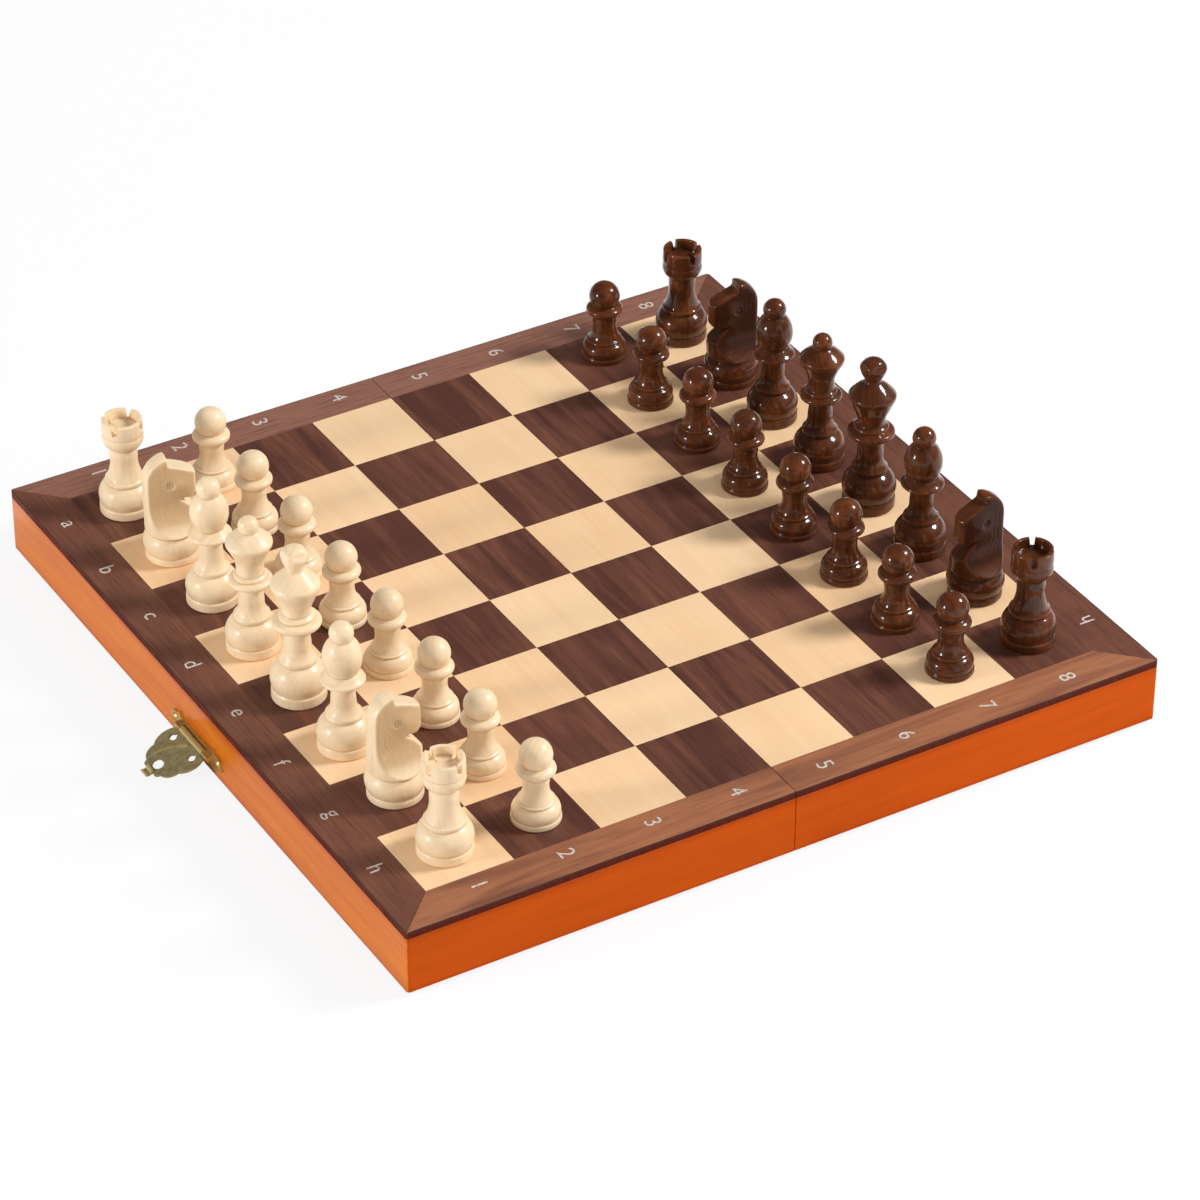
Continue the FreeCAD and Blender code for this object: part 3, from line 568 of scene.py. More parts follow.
def man_wood(name, wood, ring, groove, rub, flank, contrast, lacquer, **values):
    """Wood of a man: growth rings about a pith beside the man, fibres along it, painted shade in the grooves
    and paler worn edges. The lacquer is thinner on sawn flanks."""
    make = Finish(name, **values)
    billet = make.attribute("billet", "Vector")
    x, y, z = make.split(billet)
    squares = make.total((1.0, make.math("MULTIPLY", x, x)), (1.0, make.math("MULTIPLY", y, y)))
    pith = make.math("SQRT", squares)
    place = make.point(make.math("MULTIPLY", pith, 0.75), make.math("MULTIPLY", z, 0.025))
    rings = make.noise(place, 1.0, 2.0, 0.6, 0.4)
    fibre = make.noise(make.stretch(billet, (2.1, 2.1, 0.11)), 1.0, 2.0, 0.55)
    blotch = make.noise(billet, 0.07, 1.0)
    tone = make.total((0.5, make.spread(rings, 0.4, 0.7)), (0.25, make.spread(fibre, 0.4, 0.75)))
    tone = make.math("ADD", tone, make.spread(blotch, 0.35, 0.7, 0.0, 0.35))
    colours = make.mix(make.math("MULTIPLY", tone, contrast), wood, ring)
    sawn = make.mix(make.spread(fibre, 0.4, 0.7, 0.0, 0.35), flank, ring)
    flat = make.attribute("flank", "Fac")
    colours = make.mix(flat, colours, sawn)
    make.feed(make.shader.inputs["Coat Weight"], make.spread(flat, 0.0, 1.0, lacquer, 0.3 * lacquer))
    turning = make.attribute("turning", "Fac")
    heart = make.spread(make.noise(billet, 0.11, 2.0, 0.6), 0.5, 0.75, 0.0, 0.6)
    heart = make.math("MULTIPLY", heart, make.spread(flat, 0.0, 1.0, 1.0, 0.25))
    colours = make.mix(heart, colours, rub)
    # Painted shade: grooves darken towards the groove colour by how sharply the outline turns inward
    colours = make.mix(make.spread(turning, -0.2, -0.9, 0.0, 0.5), colours, groove)
    colours = make.mix(make.spread(turning, 0.25, 0.9, 0.0, 0.25), colours, rub)
    make.bump(fibre, 0.05)
    return make.finish(colours, make.spread(fibre, 0.3, 0.7, 0.36, 0.5))


def brass(name, bright, dull, bare, rough, painted_rib_highlight=None):
    """Metal with dull patches, finer scratches and pits. bare is the share of the metal that no patina
    covers. A painted highlight, a paler colour, shows on what stands over the flat of the hasp's leaf: its
    rib and barrel."""
    make = Finish(name, Metallic=bare)
    place = make.millimetres()
    patches = make.noise(place, 0.45, 4.0, 0.6)
    scratches = make.noise(make.stretch(place, (1.0, 0.15, 4.0)), 2.5, 2.0)
    tone = make.total((0.7, make.spread(patches, 0.4, 0.68)), (0.3, make.spread(scratches, 0.45, 0.7)))
    colours = make.mix(tone, bright, dull)
    if painted_rib_highlight is not None:
        # Painted highlight: the rib and barrel of the leaf are mixed towards a paler brass
        x, y, z = make.split(place)
        lean, rise = -math.sin(LEAF_DROOP), math.cos(LEAF_DROOP)
        over = make.total((lean, x), (rise, z))
        flat = (lean * HASP_PIVOT.x + rise * HASP_PIVOT.z) / MM + LEAF_HALF_THICKNESS
        colours = make.mix(make.spread(over, flat + 0.05, flat + 0.25, 0.0, 0.55), colours, painted_rib_highlight)
    make.bump(patches, 0.25)
    return make.finish(colours, make.spread(tone, 0.0, 1.0, *rough))


def white_print(looks):
    """White ink, thin and patchy."""
    make = Finish("white_print", Specular_IOR_Level=0.3)
    patches = make.noise(make.millimetres(), 1.6, 3.0, 0.6)
    colours = make.mix(make.spread(patches, 0.45, 0.7), looks.ink, looks.worn)
    return make.finish(colours, make.spread(patches, 0.3, 0.7, 0.5, 0.65))


def dress(material, *nodes):
    """Puts a material on CAD nodes, over whatever they came with."""
    for name in nodes:
        node = frame["nodes"][name]
        if not node.material_slots:
            node.data.materials.append(material)
        for slot in node.material_slots:
            slot.material = material


# Surfaces


def ramp(value, start, end):
    """0 at start and 1 at end, straight between them and level outside."""
    return np.clip((value - start) / (end - start), 0, 1)


def plateau(value, start, full, fade, end):
    """Ramp from 0 at start to 1 at full, times a ramp from 1 at fade to 0 at end."""
    return ramp(value, start, full) * ramp(value, end, fade)


def turn_about_z(angle):
    """Matrix of a turn about Z."""
    cosine, sine = math.cos(angle), math.sin(angle)
    return np.array([[cosine, -sine, 0.0], [sine, cosine, 0.0], [0.0, 0.0, 1.0]])


def arc(start, end, bow, count):
    """Points after start, up to end. With A twice the arctangent of two bows and a running from -A to A, a
    point lies (1 + sin a / sin A) / 2 of the chord along it and (cos a - cos A) / (2 sin A) chords off it."""
    chord = end - start
    steps = np.linspace(0.0, 1.0, count + 1)[1:, None]
    if bow == 0:
        return start + steps * chord
    reach = 2 * math.atan(2 * bow)
    turn = (2 * steps - 1) * reach
    along = (1 + np.sin(turn) / math.sin(reach)) / 2
    off = (np.cos(turn) - math.cos(reach)) / (2 * math.sin(reach))
    return start + along * chord + off * np.array([chord[1], -chord[0]])


def ball_top(start, top, count):
    """Circle from start to the top of the axis, with its centre on the axis: radius sin a, height cos a."""
    centre = (top**2 - start[1] ** 2 - start[0] ** 2) / (2 * (top - start[1]))
    turn = math.atan2(start[0], start[1] - centre) * np.linspace(1.0, 0.0, count + 1)[1:]
    return (top - centre) * np.stack([np.sin(turn), np.cos(turn)], 1) + [0.0, centre]


def outline(stations, ease, rows):
    """Radius, height and turning of a turned outline. The stretches are walked in even steps, and each point
    becomes the mean of its neighbours under a bell curve, ease wide, which rounds the edges. The line is
    mirrored at the axis. Rows then crowd where the outline turns. Turning is positive on edges and negative
    in grooves."""
    points = [np.zeros((1, 2))]
    for radius, height, bow in stations:
        start = points[-1][-1]
        if radius == 0 and bow != 0:
            points.append(ball_top(start, height, 80))
        else:
            points.append(arc(start, np.array([radius, height]), bow, 40))
    points = np.concatenate(points)
    run = np.concatenate([[0.0], np.cumsum(np.hypot(*np.diff(points, axis=0).T))])
    fine = 4
    step = ease / fine
    even = np.arange(0.0, run[-1], step)
    line = np.stack([np.interp(even, run, points[:, 0]), np.interp(even, run, points[:, 1])])
    reach = 4 * fine
    bell = np.exp(-0.5 * (np.arange(-reach, reach + 1) / fine) ** 2)
    mirror = np.array([[-1.0], [1.0]])
    ends = (mirror * line[:, reach:0:-1], mirror * line[:, -2 : -reach - 2 : -1])
    padded = np.concatenate([ends[0], line, ends[1]], axis=1)
    eased = np.stack([np.convolve(part, bell / bell.sum(), "valid") for part in padded])
    heading = np.unwrap(np.arctan2(*np.gradient(eased, axis=1)[::-1]))
    curve = np.gradient(heading) / step
    effort = np.cumsum(1 + TURNED_CROWDING * np.clip(np.abs(curve), 0, 3))
    rows_at = np.interp(np.linspace(effort[0], effort[-1], rows), effort, np.arange(len(effort)))
    radius, height, turning = (np.interp(rows_at, np.arange(len(effort)), part) for part in (*eased, curve))
    radius[[0, -1]] = 0.0
    return radius, height, np.clip(turning / FULL_BEND, -1, 1)


def man_outline(kind, radius, height, ease, rows):
    """Outline of a turned man from its shares, in millimetres."""
    base, ring, upper = TURNED[kind]
    stations = [(r * radius, z * base, bow) for r, z, bow in FOOT]
    stations += [(r * ring * radius, z * base, bow) for r, z, bow in RING]
    stations += [(r * radius, base + z * (height - base), bow) for r, z, bow in upper]
    return outline(stations, ease, rows)


def revolve(radius, height, angles):
    """Grid of points: radius times the cosine and sine of each angle, at each height."""
    radius = np.broadcast_to(np.reshape(radius, (len(radius), -1)), (len(radius), len(angles)))
    height = np.broadcast_to(np.reshape(height, (len(height), -1)), radius.shape)
    return np.stack([radius * np.cos(angles), radius * np.sin(angles), height], -1)


def battlements(radius, height, turn):
    """Rook's grid. Between the outer wall and the well, the outline of a slot runs level at the slot's floor,
    and each angle mixes the two outlines by how far it lies inside a slot, over a narrow eased edge."""
    floor = height.max() - ROOK_SLOT_DEPTH
    high = np.flatnonzero(height > floor)
    first, last = high[0], high[-1]
    level = np.interp(np.arange(len(radius)), [first, last], [radius[first], radius[last]])
    inside = (np.arange(len(radius)) >= first) & (np.arange(len(radius)) <= last)
    slot_radius = np.where(inside, level, radius)
    slot_height = np.where(inside, np.minimum(height, floor), height)
    half = ROOK_SLOT_WIDTH / 2 / radius[first]
    edge = ROOK_SLOT_EASE / radius[first]
    pitch = 2 * math.pi / ROOK_SLOTS
    across = [np.linspace(middle - edge, middle + edge, 6) for middle in (-half, half)]
    plain = np.linspace(half + 2 * edge, pitch - half - 2 * edge, 20)
    angles = np.concatenate([slot * pitch + np.concatenate([*across, plain]) for slot in range(ROOK_SLOTS)])
    offset = np.abs((angles + pitch / 2) % pitch - pitch / 2)
    share = ramp(offset, half + edge, half - edge)
    share = share * share * (3 - 2 * share)
    mixed_radius = radius[:, None] + share * (slot_radius - radius)[:, None]
    mixed_height = height[:, None] + share * (slot_height - height)[:, None]
    return revolve(mixed_radius, mixed_height, angles + turn)


def cross_knob(points, radius, base, stand):
    """King's knob: held between two flats across X, and pressed in along Y to two round notches a side."""
    x, y, z = np.moveaxis(points, -1, 0)
    flat = CROSS_FLAT_SHARE * radius
    above = z > base + CROSS_LOW_HEIGHT * stand
    x = np.where(above, np.clip(x, -flat, flat), x)
    reach = CROSS_NOTCH_SHARE * radius
    for share in CROSS_NOTCH_HEIGHTS:
        rise = np.clip(np.abs(z - base - share * stand) / reach, 0, 1)
        limit = CROSS_SIDE_SHARE * radius - reach * np.sqrt(1 - rise**2)
        y = np.where(rise < 1, np.clip(y, -limit, limit), y)
    return np.stack([x, y, z], -1)


def closed_skin(points):
    """Corners and faces of a grid that closes on itself round the axis and in a pole at each end."""
    rows, columns = points.shape[:2]
    corners = np.concatenate([points[0, :1], points[1:-1].reshape(-1, 3), points[-1, :1]])
    index = 1 + np.arange((rows - 2) * columns).reshape(rows - 2, columns)
    beside = np.roll(index, -1, axis=1)
    walls = np.stack([index[:-1], beside[:-1], beside[1:], index[1:]], -1).reshape(-1, 4)
    foot = np.stack([np.zeros(columns, int), beside[0], index[0]], -1)
    top = np.stack([index[-1], beside[-1], np.full(columns, len(corners) - 1)], -1)
    return corners, walls.tolist() + foot.tolist() + top.tolist()


def mesh_of(name, corners, faces, smooth=True):
    mesh = bpy.data.meshes.new(name)
    mesh.from_pydata(corners.tolist(), [], faces)
    mesh.polygons.foreach_set("use_smooth", np.full(len(mesh.polygons), smooth))
    mesh.update()
    return mesh


def corners_of(mesh):
    found = np.empty(len(mesh.vertices) * 3, np.float32)
    mesh.vertices.foreach_get("co", found)
    return found.reshape(-1, 3).astype(float)


def write_values(mesh, name, kind, values):
    made = mesh.attributes.new(name, kind, "POINT")
    field = "vector" if kind == "FLOAT_VECTOR" else "value"
    made.data.foreach_set(field, np.asarray(values, np.float32).ravel())


def linked(name, data):
    """New object in the scene."""
    made = bpy.data.objects.new(name, data)
    bpy.context.scene.collection.objects.link(made)
    return made


def baked(holder):
    """Mesh of what an object shows. The object goes."""
    graph = bpy.context.evaluated_depsgraph_get()
    mesh = bpy.data.meshes.new_from_object(holder.evaluated_get(graph))
    bpy.data.objects.remove(holder)
    return mesh


def place_piece(name, mesh, body, material):
    """New piece that rides on a body."""
    piece = linked(name, mesh)
    mesh.materials.append(material)
    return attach(piece, body)


def men_finish(shade):
    """Wood of the pale or the dark men, made once."""
    name = shade + "_lacquered_wood"
    if name in bpy.data.materials:
        return bpy.data.materials[name]
    looks = bpy.context.scene.chess_men
    if shade == "pale":
        woods = (looks.pale, looks.pale_ring, looks.pale_groove_shade, looks.pale, looks.pale_flank)
        shine = {"Specular_IOR_Level": 0.4, "Coat_Roughness": 0.2}
        return man_wood(name, *woods, contrast=0.6, lacquer=0.25, **shine)
    # The dark ring colour is also the dark men's painted groove shade
    woods = (looks.dark, looks.dark_ring, looks.dark_ring, looks.dark_rub, looks.dark_flank)
    shine = {"Specular_IOR_Level": 0.1, "Coat_Roughness": 0.05, "Coat_IOR": 1.34}
    return man_wood(name, *woods, contrast=0.9, lacquer=1.0, **shine)


def place_man(node, mesh, local, turning, flank):
    """Stands a man for its CAD node, with its place in its billet, the turning of its surface and its sawn
    flanks."""
    chance = np.random.default_rng(sum(map(ord, node)) * 7919)
    turn, far, deep = chance.uniform([0, PITH_NEAR, 0], [2 * math.pi, PITH_FAR, BILLET_LENGTH])
    billet = local @ turn_about_z(turn).T + [far, 0.0, deep]
    write_values(mesh, "billet", "FLOAT_VECTOR", billet)
    write_values(mesh, "turning", "FLOAT", turning)
    write_values(mesh, "flank", "FLOAT", flank)
    shade = "pale" if node.startswith("white") else "dark"
    piece = place_piece(mesh.name, mesh, node, men_finish(shade))
    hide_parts(node)


def stand_of(node):
    """Middle of a man's foot in metres, and its radius and height in millimetres."""
    low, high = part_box(node)
    foot = np.array([(low.x + high.x) / 2, (low.y + high.y) / 2, low.z])
    return foot, (high.x - low.x) / 2 / MM, (high.z - low.z) / MM


def turn_men(kind):
    """Makes every man of one turned kind: the frame gives its foot, radius and height."""
    looks = bpy.context.scene.chess_men
    for node in sorted(name for name in frame["nodes"] if kind in name.split("_")):
        foot, radius, height = stand_of(node)
        line, rise, turning = man_outline(kind, radius, height, looks.ease / MM, TURNED_ROWS)
        if kind == "rook":
            points = battlements(line, rise, math.radians(ROOK_TURNS.get(node, 0.0)))
        else:
            points = revolve(line, rise, np.arange(TURNED_COLUMNS) * 2 * math.pi / TURNED_COLUMNS)
        if kind == "king":
            base = TURNED[kind][0]
            points = cross_knob(points, radius, base, height - base)
        local, faces = closed_skin(points)
        turning = np.concatenate([turning[:1], np.repeat(turning[1:-1], points.shape[1]), turning[-1:]])
        mesh = mesh_of("turned_" + node, local * MM + foot, faces)
        place_man(node, mesh, local, turning, np.zeros(len(local)))


def even_copy(node, voxel):
    """The node's surface as one skin of even squares."""
    mesh = frame["nodes"][node].data.copy()
    work = bmesh.new()
    work.from_mesh(mesh)
    bmesh.ops.remove_doubles(work, verts=work.verts, dist=1e-6)
    work.to_mesh(mesh)
    work.free()
    holder = linked("knight_blank", mesh)
    remesh = holder.modifiers.new("even", "REMESH")
    remesh.mode = "VOXEL"
    remesh.voxel_size = voxel
    even = baked(holder)
    bpy.data.meshes.remove(mesh)
    even.materials.clear()
    even.polygons.foreach_set("use_smooth", np.ones(len(even.polygons), bool))
    return even


def flared(local):
    """Knight whose flanks widen towards the base in a bow that leaves the round body in a U, and whose cheeks
    swell. Below the flare's top, y grows by a power of the way down. A cheek widens y by a bell over the
    head, and the muzzle narrows towards its tip."""
    x, y, z = local.T
    low, high, reach, power = KNIGHT_FLARE
    wide = KNIGHT_FLANK + reach * ramp(z, high, low) ** power
    aside = np.abs(y)
    grown = np.where(aside <= KNIGHT_FLANK, aside * wide / KNIGHT_FLANK, np.maximum(aside, wide))
    body = np.sqrt(np.maximum(KNIGHT_BODY**2 - x**2, 0))
    grown = np.where(z > low, np.maximum(aside, np.minimum(grown, body)), aside)
    at_x, at_z, spread, swell = KNIGHT_CHEEK
    cheek = np.exp(-((x - at_x) ** 2 + (z - at_z) ** 2) / (spread / 2) ** 2)
    start, end, narrower = KNIGHT_MUZZLE
    tip = 1 - narrower * ramp(x, start, end) ** 2 * (z > high - 1)
    grown = np.where(aside <= 1.1 * KNIGHT_FLANK, grown * (1 + swell * cheek) * tip, grown)
    return np.stack([x, np.copysign(grown, y), z], 1)


def engraved(points, facing):
    """Sanded knight with an eye and the slanting cuts of a mane pressed into its flanks along y. The ring and
    dot of the eye are bells over the distance from its middle, and the cuts are squared cosines across waved
    lines."""
    x, y, z = points.T
    at_x, at_z, ring = KNIGHT_EYE
    away = np.hypot(x - at_x, z - at_z)
    bells = zip((ring, 0.0), KNIGHT_EYE_CUTS)
    eye = sum(deep * np.exp(-(((away - radius) / wide) ** 2)) for radius, (deep, wide) in bells)
    deep, step = KNIGHT_MANE
    slant = (x + 0.3 * z + 0.5 * np.sin(0.9 * z)) / step
    cuts = np.clip(np.cos(2 * math.pi * slant), 0, 1) ** 2
    mane = plateau(x, *KNIGHT_MANE_X) * plateau(z, *KNIGHT_MANE_Z)
    depth = (eye + deep * mane * cuts) * ramp(facing, 0.6, 0.85) * (np.abs(y) < 6)
    return np.stack([x, np.copysign(np.abs(y) - depth, y), z], 1)


def sanded(corners, edges, share, passes):
    """Each pass moves every corner by a share of the way to the mean of its neighbours, which rounds carved
    edges. Also gives how far the last pass would move each corner if its share were one."""
    ends = np.concatenate([edges, edges[:, ::-1]])
    count = np.bincount(ends[:, 0], minlength=len(corners))[:, None]
    for _ in range(passes):
        sums = np.stack([np.bincount(ends[:, 0], corners[ends[:, 1], k], len(corners)) for k in range(3)], 1)
        pull = sums / count - corners
        corners = corners + share[:, None] * pull
    return corners, pull


def facing_of(mesh, corners):
    """Moves the mesh's corners and gives their new normals."""
    mesh.vertices.foreach_set("co", corners.astype(np.float32).ravel())
    mesh.update()
    normals = np.empty(len(corners) * 3, np.float32)
    mesh.vertex_normals.foreach_get("vector", normals)
    return normals.reshape(-1, 3)


def carve_knights():
    """Makes the knights from their carved solids, with flared flanks, sanded edges, eyes and manes."""
    looks = bpy.context.scene.chess_men
    for node in sorted(name for name in frame["nodes"] if "_knight_" in name):
        mesh = even_copy(node, looks.voxel)
        mesh.name = "carved_" + node
        foot = stand_of(node)[0]
        edges = np.empty(len(mesh.edges) * 2, np.int32)
        mesh.edges.foreach_get("vertices", edges)
        turned = turn_about_z(math.radians(KNIGHT_TURNS[node]))
        points = flared((corners_of(mesh) - foot) / MM @ turned)
        share = np.interp(points[:, 2], KNIGHT_SANDED_Z, KNIGHT_SANDED_SHARE)
        points, pull = sanded(points, edges.reshape(-1, 2), share, KNIGHT_SANDING)
        points[:, 2] = np.maximum(points[:, 2], 0)
        normals = facing_of(mesh, points)
        points = engraved(points, np.abs(normals[:, 1]))
        turning = np.einsum("ij,ij->i", pull, normals) * MM / looks.voxel * -12
        normals = facing_of(mesh, points @ turned.T * MM + foot)
        # Sawn flanks face aside, above the base and inside the round body
        x, y, z = points.T
        aside = np.abs(normals @ turned[:, 1])
        flank = ramp(aside, 0.55, 0.55 + 1 / 3) * ramp(z, 12.5, 15.5)
        flank *= ramp(np.hypot(x, y), KNIGHT_BODY, KNIGHT_BODY - 0.8)
        place_man(node, mesh, points @ turned.T, np.clip(turning, -1, 1), flank)


# Printed coordinates


def glyph(text, size, lift):
    """Corners and faces of one printed letter, its middle at the origin and its foot towards -Y."""
    curve = bpy.data.curves.new("print", "FONT")
    curve.body = text
    curve.size = size
    curve.extrude = lift / 2
    curve.align_x = "CENTER"
    curve.align_y = "CENTER"
    mesh = baked(linked("print", curve))
    corners = corners_of(mesh)
    faces = [list(face.vertices) for face in mesh.polygons]
    bpy.data.meshes.remove(mesh)
    middle = (corners.min(0) + corners.max(0)) / 2
    return corners - middle, faces


def print_places(half, side, looks):
    """(text, x, y, direction of its top along X): letters along the outer strip, numbers along both side
    strips."""
    slip = looks.slip if half == "white" else 0.0
    strip = BORDER / 2
    found = []
    for file, text in enumerate(FILES):
        y = (len(FILES) / 2 - file - 0.5) * SQUARE
        found.append((text, side * (OUTER_X - strip), y + slip, -side))
    for rank, text in enumerate(RANKS):
        x = (rank + 0.5 - len(RANKS) / 2) * SQUARE
        if x * side > 0:
            found += [(text, x, edge * (HALF_WIDTH - strip) + slip, 1) for edge in (-1, 1)]
    return found


def print_coordinates(half):
    """One mesh of all the letters and numbers on a half of the board."""
    looks = bpy.context.scene.chess_print
    corners, faces, count = [], [], 0
    for text, x, y, top in print_places(half, HALVES[half], looks):
        points, sides = glyph(text, looks.size, looks.lift)
        turned = np.stack([top * points[:, 1], -top * points[:, 0], points[:, 2]], 1)
        corners.append(turned + [x, y, BOARD_TOP + looks.lift / 2])
        faces += [[corner + count for corner in side] for side in sides]
        count += len(points)
    mesh = mesh_of(half + "_coordinates", np.concatenate(corners), faces, smooth=False)
    material = bpy.data.materials.get("white_print") or white_print(looks)
    place_piece(mesh.name, mesh, half + "_half", material)


# Studio


def lamp(name, place, width, watts):
    """Square soft lamp that looks at the middle of the board."""
    light = bpy.data.lights.new(name, "AREA")
    light.shape = "SQUARE"
    light.size = width
    light.energy = watts
    made = linked(name, light)
    made.location = place
    made.rotation_euler = (Vector((0.0, 0.0, BOARD_TOP)) - Vector(place)).to_track_quat("-Z", "Y").to_euler()


def room_light(strength):
    """World: white to the camera, a pale room that is dimmer overhead to reflections, and plain light."""
    world = bpy.data.worlds.new("room")
    world.use_nodes = True
    make = Nodes(world.node_tree)
    make.tree.nodes.clear()
    path = make.node("ShaderNodeLightPath").outputs
    x, y, z = make.split(make.node("ShaderNodeTexCoord").outputs["Generated"])
    fade = make.spread(z, 0.0, OVERHEAD_HEIGHT, 1.0, OVERHEAD_LIGHT)
    straight = make.math("MAXIMUM", path["Is Camera Ray"], path["Is Transmission Ray"])
    seen = make.math("MAXIMUM", straight, path["Is Glossy Ray"])
    light = make.choose(seen, strength, make.math("MAXIMUM", straight, fade))
    shine = make.node("ShaderNodeBackground", {"Color": (1.0, 1.0, 1.0), "Strength": light})
    make.node("ShaderNodeOutputWorld", {0: shine.outputs[0]})
    bpy.context.scene.world = world


def floor_finish(looks):
    """Pale floor. The camera looks mostly through it at the white room, and light reaches what is below it,
    so that a half folded under the other still shows. The board's shadow stays on it as a soft veil, which
    ends further out."""
    make = Finish("pale_floor", Specular_IOR_Level=0.0)
    place = make.millimetres()
    patches = make.noise(place, 0.02, 2.0)
    make.finish(make.mix(make.spread(patches, 0.3, 0.7, 0.0, 0.15), looks.floor, (1.0, 1.0, 1.0)), 0.9)
    path = make.node("ShaderNodeLightPath")
    clear = make.node("ShaderNodeBsdfTransparent")
    reach = make.node("ShaderNodeVectorMath", {0: place}, operation="LENGTH").outputs["Value"]
    share = make.spread(reach, *FLOOR_FADE, FLOOR_CLEAR, 1.0)
    seen = make.math("MULTIPLY", path.outputs["Is Camera Ray"], share)
    below = make.node("ShaderNodeNewGeometry").outputs["Backfacing"]
    veil = make.math("MAXIMUM", seen, make.math("MULTIPLY", path.outputs["Is Shadow Ray"], below))
    mix = make.node("ShaderNodeMixShader", {0: veil, 1: make.shader.outputs[0], 2: clear.outputs[0]})
    output = make.tree.nodes["Material Output"]
    make.feed(output.inputs["Surface"], mix.outputs[0])
    return make.material


def lay_floor(looks):
    """Flat grid at the foot of the board."""
    steps = np.linspace(-FLOOR_REACH, FLOOR_REACH, 9)
    u, v = np.meshgrid(steps, steps, indexing="ij")
    corners = np.stack([u, v, np.full_like(u, cad_box[0].z)], -1).reshape(-1, 3)
    index = np.arange(u.size).reshape(u.shape)
    faces = np.stack([index[:-1, :-1], index[1:, :-1], index[1:, 1:], index[:-1, 1:]], -1).reshape(-1, 4)
    mesh = mesh_of("floor", corners, faces.tolist())
    mesh.materials.append(floor_finish(looks))
    floor = linked("floor", mesh)


def aim_camera(looks):
    """Camera at an azimuth, an elevation and a distance from the point that it looks at, rolled a little."""
    camera = bpy.data.cameras.new("camera")
    camera.lens = looks.lens
    camera.sensor_width = SENSOR_WIDTH
    camera.clip_end = 50.0
    made = linked("camera", camera)
    flat = math.cos(looks.elevation)
    sine, cosine = math.sin(looks.azimuth), math.cos(looks.azimuth)
    back = Vector((sine * flat, -cosine * flat, math.sin(looks.elevation)))
    right = Vector((cosine, sine, 0.0))
    right = right * math.cos(looks.roll) + back.cross(right) * math.sin(looks.roll)
    axes = Matrix((right, back.cross(right), back)).transposed()
    made.matrix_world = Matrix.Translation(CAMERA_AIM + back * looks.distance) @ axes.to_4x4()
    bpy.context.scene.camera = made


def build_stage():
    looks = bpy.context.scene.chess_studio
    lay_floor(looks)
    room_light(looks.room)
    lamp("key", *KEY_LAMP, looks.key)
    lamp("fill", *FILL_LAMP, looks.fill)
    lamp("front", *FRONT_LAMP, looks.front)
    aim_camera(looks)
    bpy.context.scene.view_settings.view_transform = "Standard"


# Operators and panel


class CHESS_OT_squares(bpy.types.Operator):
    """Veneers the light and dark squares"""

    bl_idname = "chess.squares"
    bl_label = "Squares"

    def execute(self, context):
        looks = context.scene.chess_veneers
        dress(light_veneer(looks), *(half + "_light_squares" for half in HALVES))
        dress(dark_veneer(looks), *(half + "_dark_squares" for half in HALVES))
        return {"FINISHED"}


class CHESS_OT_borders(bpy.types.Operator):
    """Veneers the mitred border strips"""

    bl_idname = "chess.borders"
    bl_label = "Borders"

    def execute(self, context):
        dress(border_veneer(context.scene.chess_veneers), *(half + "_border" for half in HALVES))
        return {"FINISHED"}


class CHESS_OT_trays(bpy.types.Operator):
    """Stains the walls and panels of both halves"""

    bl_idname = "chess.trays"
    bl_label = "Trays"

    def execute(self, context):
        looks = context.scene.chess_trays
        dress(panel_wood(looks), *(half + "_panel" for half in HALVES))
        walls = [half + wall for half in HALVES for wall in ("_outer_wall", "_inner_wall", "_end_walls")]
        dress(stained_wood(looks), *walls)
        return {"FINISHED"}


class CHESS_OT_metal(bpy.types.Operator):
    """Gives the hinges, hasp and catch their brass"""

    bl_idname = "chess.metal"
    bl_label = "Brass fittings"

    def execute(self, context):
        looks = context.scene.chess_metal
        bright = brass("bright_brass", looks.brass, looks.brass_dull, bare=0.9, rough=(0.25, 0.42))
        # The hasp leaf's rib and barrel get a painted highlight in the polished brass colour
        aged = brass(
            "dulled_brass", looks.aged, looks.aged_dark, bare=0.5, rough=(0.35, 0.5), painted_rib_highlight=looks.brass
        )
        hinges = [half + part for half in HALVES for part in ("_hinge_leaves", "_hinge_screws")]
        dress(bright, "hinge_pins", "hasp_plate", "hasp_pin", "hasp_screws", "catch", "catch_screws", *hinges)
        dress(aged, "hasp_leaf")
        return {"FINISHED"}


class CHESS_OT_coordinates(bpy.types.Operator):
    """Prints the letters and numbers on the borders"""

    bl_idname = "chess.coordinates"
    bl_label = "Printed coordinates"

    def execute(self, context):
        for half in HALVES:
            print_coordinates(half)
        return {"FINISHED"}


class CHESS_OT_pawns(bpy.types.Operator):
    """Turns the sixteen pawns"""

    bl_idname = "chess.pawns"
    bl_label = "Pawns"

    def execute(self, context):
        turn_men("pawn")
        return {"FINISHED"}


class CHESS_OT_rooks(bpy.types.Operator):
    """Turns the four rooks and cuts their battlements"""

    bl_idname = "chess.rooks"
    bl_label = "Rooks"

    def execute(self, context):
        turn_men("rook")
        return {"FINISHED"}


class CHESS_OT_knights(bpy.types.Operator):
    """Carves the four knights"""

    bl_idname = "chess.knights"
    bl_label = "Knights"

    def execute(self, context):
        carve_knights()
        return {"FINISHED"}


class CHESS_OT_bishops(bpy.types.Operator):
    """Turns the four bishops"""

    bl_idname = "chess.bishops"
    bl_label = "Bishops"

    def execute(self, context):
        turn_men("bishop")
        return {"FINISHED"}


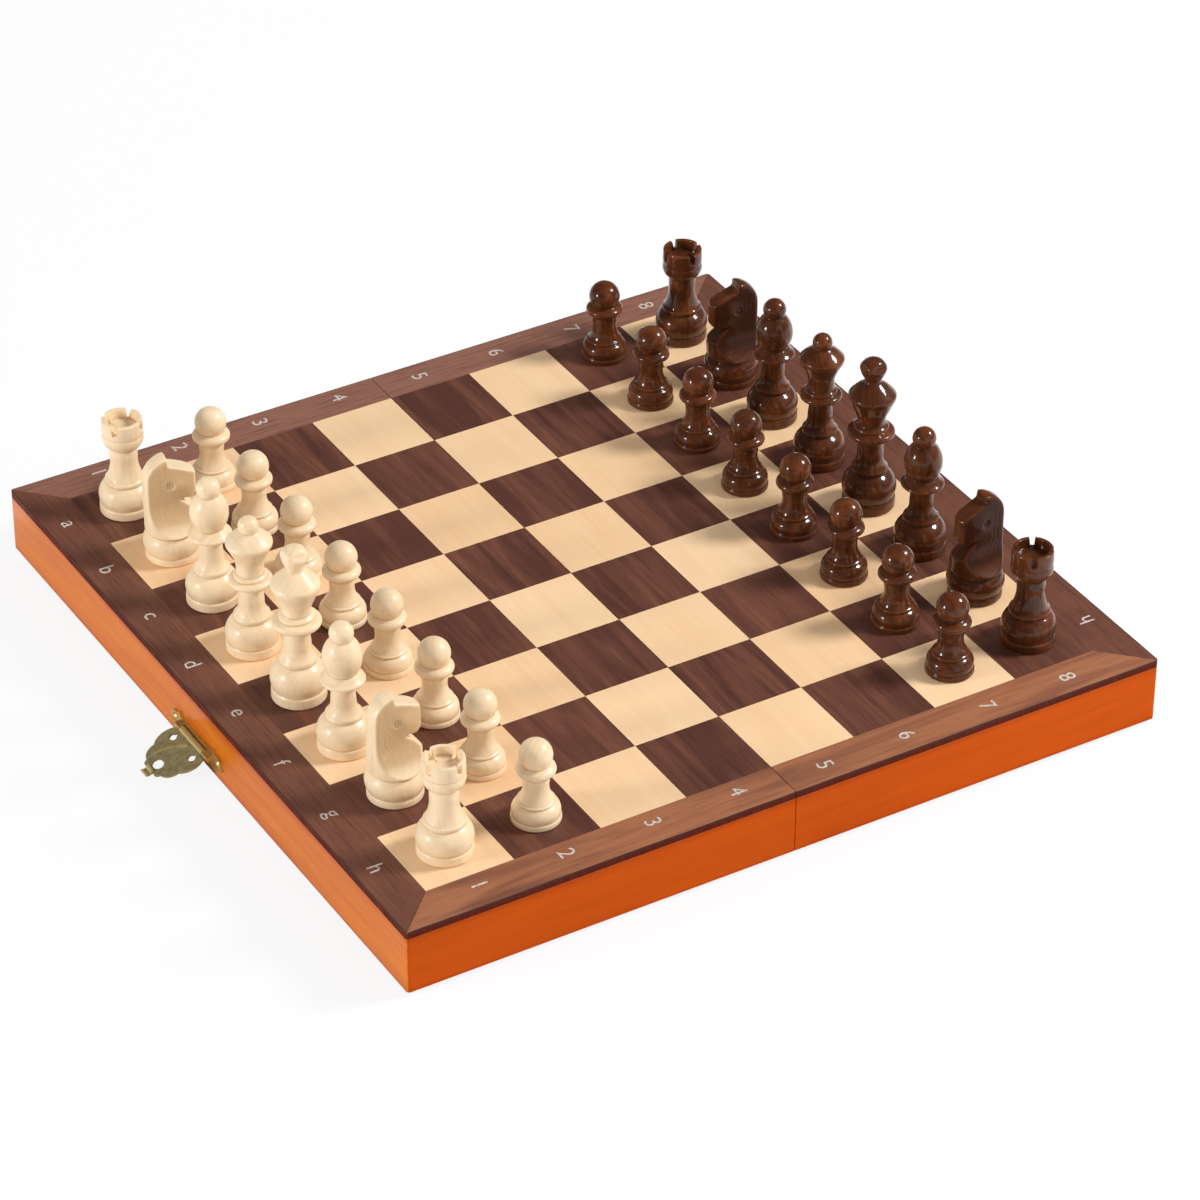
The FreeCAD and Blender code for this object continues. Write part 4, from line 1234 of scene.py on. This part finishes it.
class CHESS_OT_queens(bpy.types.Operator):
    """Turns both queens"""

    bl_idname = "chess.queens"
    bl_label = "Queens"

    def execute(self, context):
        turn_men("queen")
        return {"FINISHED"}


class CHESS_OT_kings(bpy.types.Operator):
    """Turns both kings and notches their crosses"""

    bl_idname = "chess.kings"
    bl_label = "Kings"

    def execute(self, context):
        turn_men("king")
        return {"FINISHED"}


class CHESS_OT_stage(bpy.types.Operator):
    """Builds the floor, the lights and the camera"""

    bl_idname = "chess.stage"
    bl_label = "Studio"

    def execute(self, context):
        build_stage()
        return {"FINISHED"}


GROUPS = {
    "chess_veneers": ChessVeneers,
    "chess_trays": ChessTrays,
    "chess_men": ChessMen,
    "chess_metal": ChessMetal,
    "chess_print": ChessPrint,
    "chess_studio": ChessStudio,
}
OPERATORS = (
    CHESS_OT_stage,
    CHESS_OT_squares,
    CHESS_OT_borders,
    CHESS_OT_trays,
    CHESS_OT_metal,
    CHESS_OT_coordinates,
    CHESS_OT_pawns,
    CHESS_OT_rooks,
    CHESS_OT_knights,
    CHESS_OT_bishops,
    CHESS_OT_queens,
    CHESS_OT_kings,
)


class CHESS_PT_board(bpy.types.Panel):
    """Sizes, colours and steps of the chess board"""

    bl_idname = "CHESS_PT_board"
    bl_label = "Chess board"
    bl_space_type = "VIEW_3D"
    bl_region_type = "UI"
    bl_category = "Chess board"

    def draw(self, context):
        for name, group in GROUPS.items():
            box = self.layout.box()
            box.label(text=group.__doc__)
            for prop in group.__annotations__:
                box.prop(getattr(context.scene, name), prop)
        for operator in OPERATORS:
            self.layout.operator(operator.bl_idname)


def register():
    for made in (*GROUPS.values(), *OPERATORS, CHESS_PT_board):
        bpy.utils.register_class(made)
    for name, group in GROUPS.items():
        setattr(bpy.types.Scene, name, bpy.props.PointerProperty(type=group))


def unregister():
    for name in GROUPS:
        delattr(bpy.types.Scene, name)
    for made in (CHESS_PT_board, *OPERATORS, *GROUPS.values()):
        bpy.utils.unregister_class(made)


def main():
    register()
    for operator in OPERATORS:
        family, name = operator.bl_idname.split(".")
        getattr(getattr(bpy.ops, family), name)()


if __name__ == "__main__":
    main()
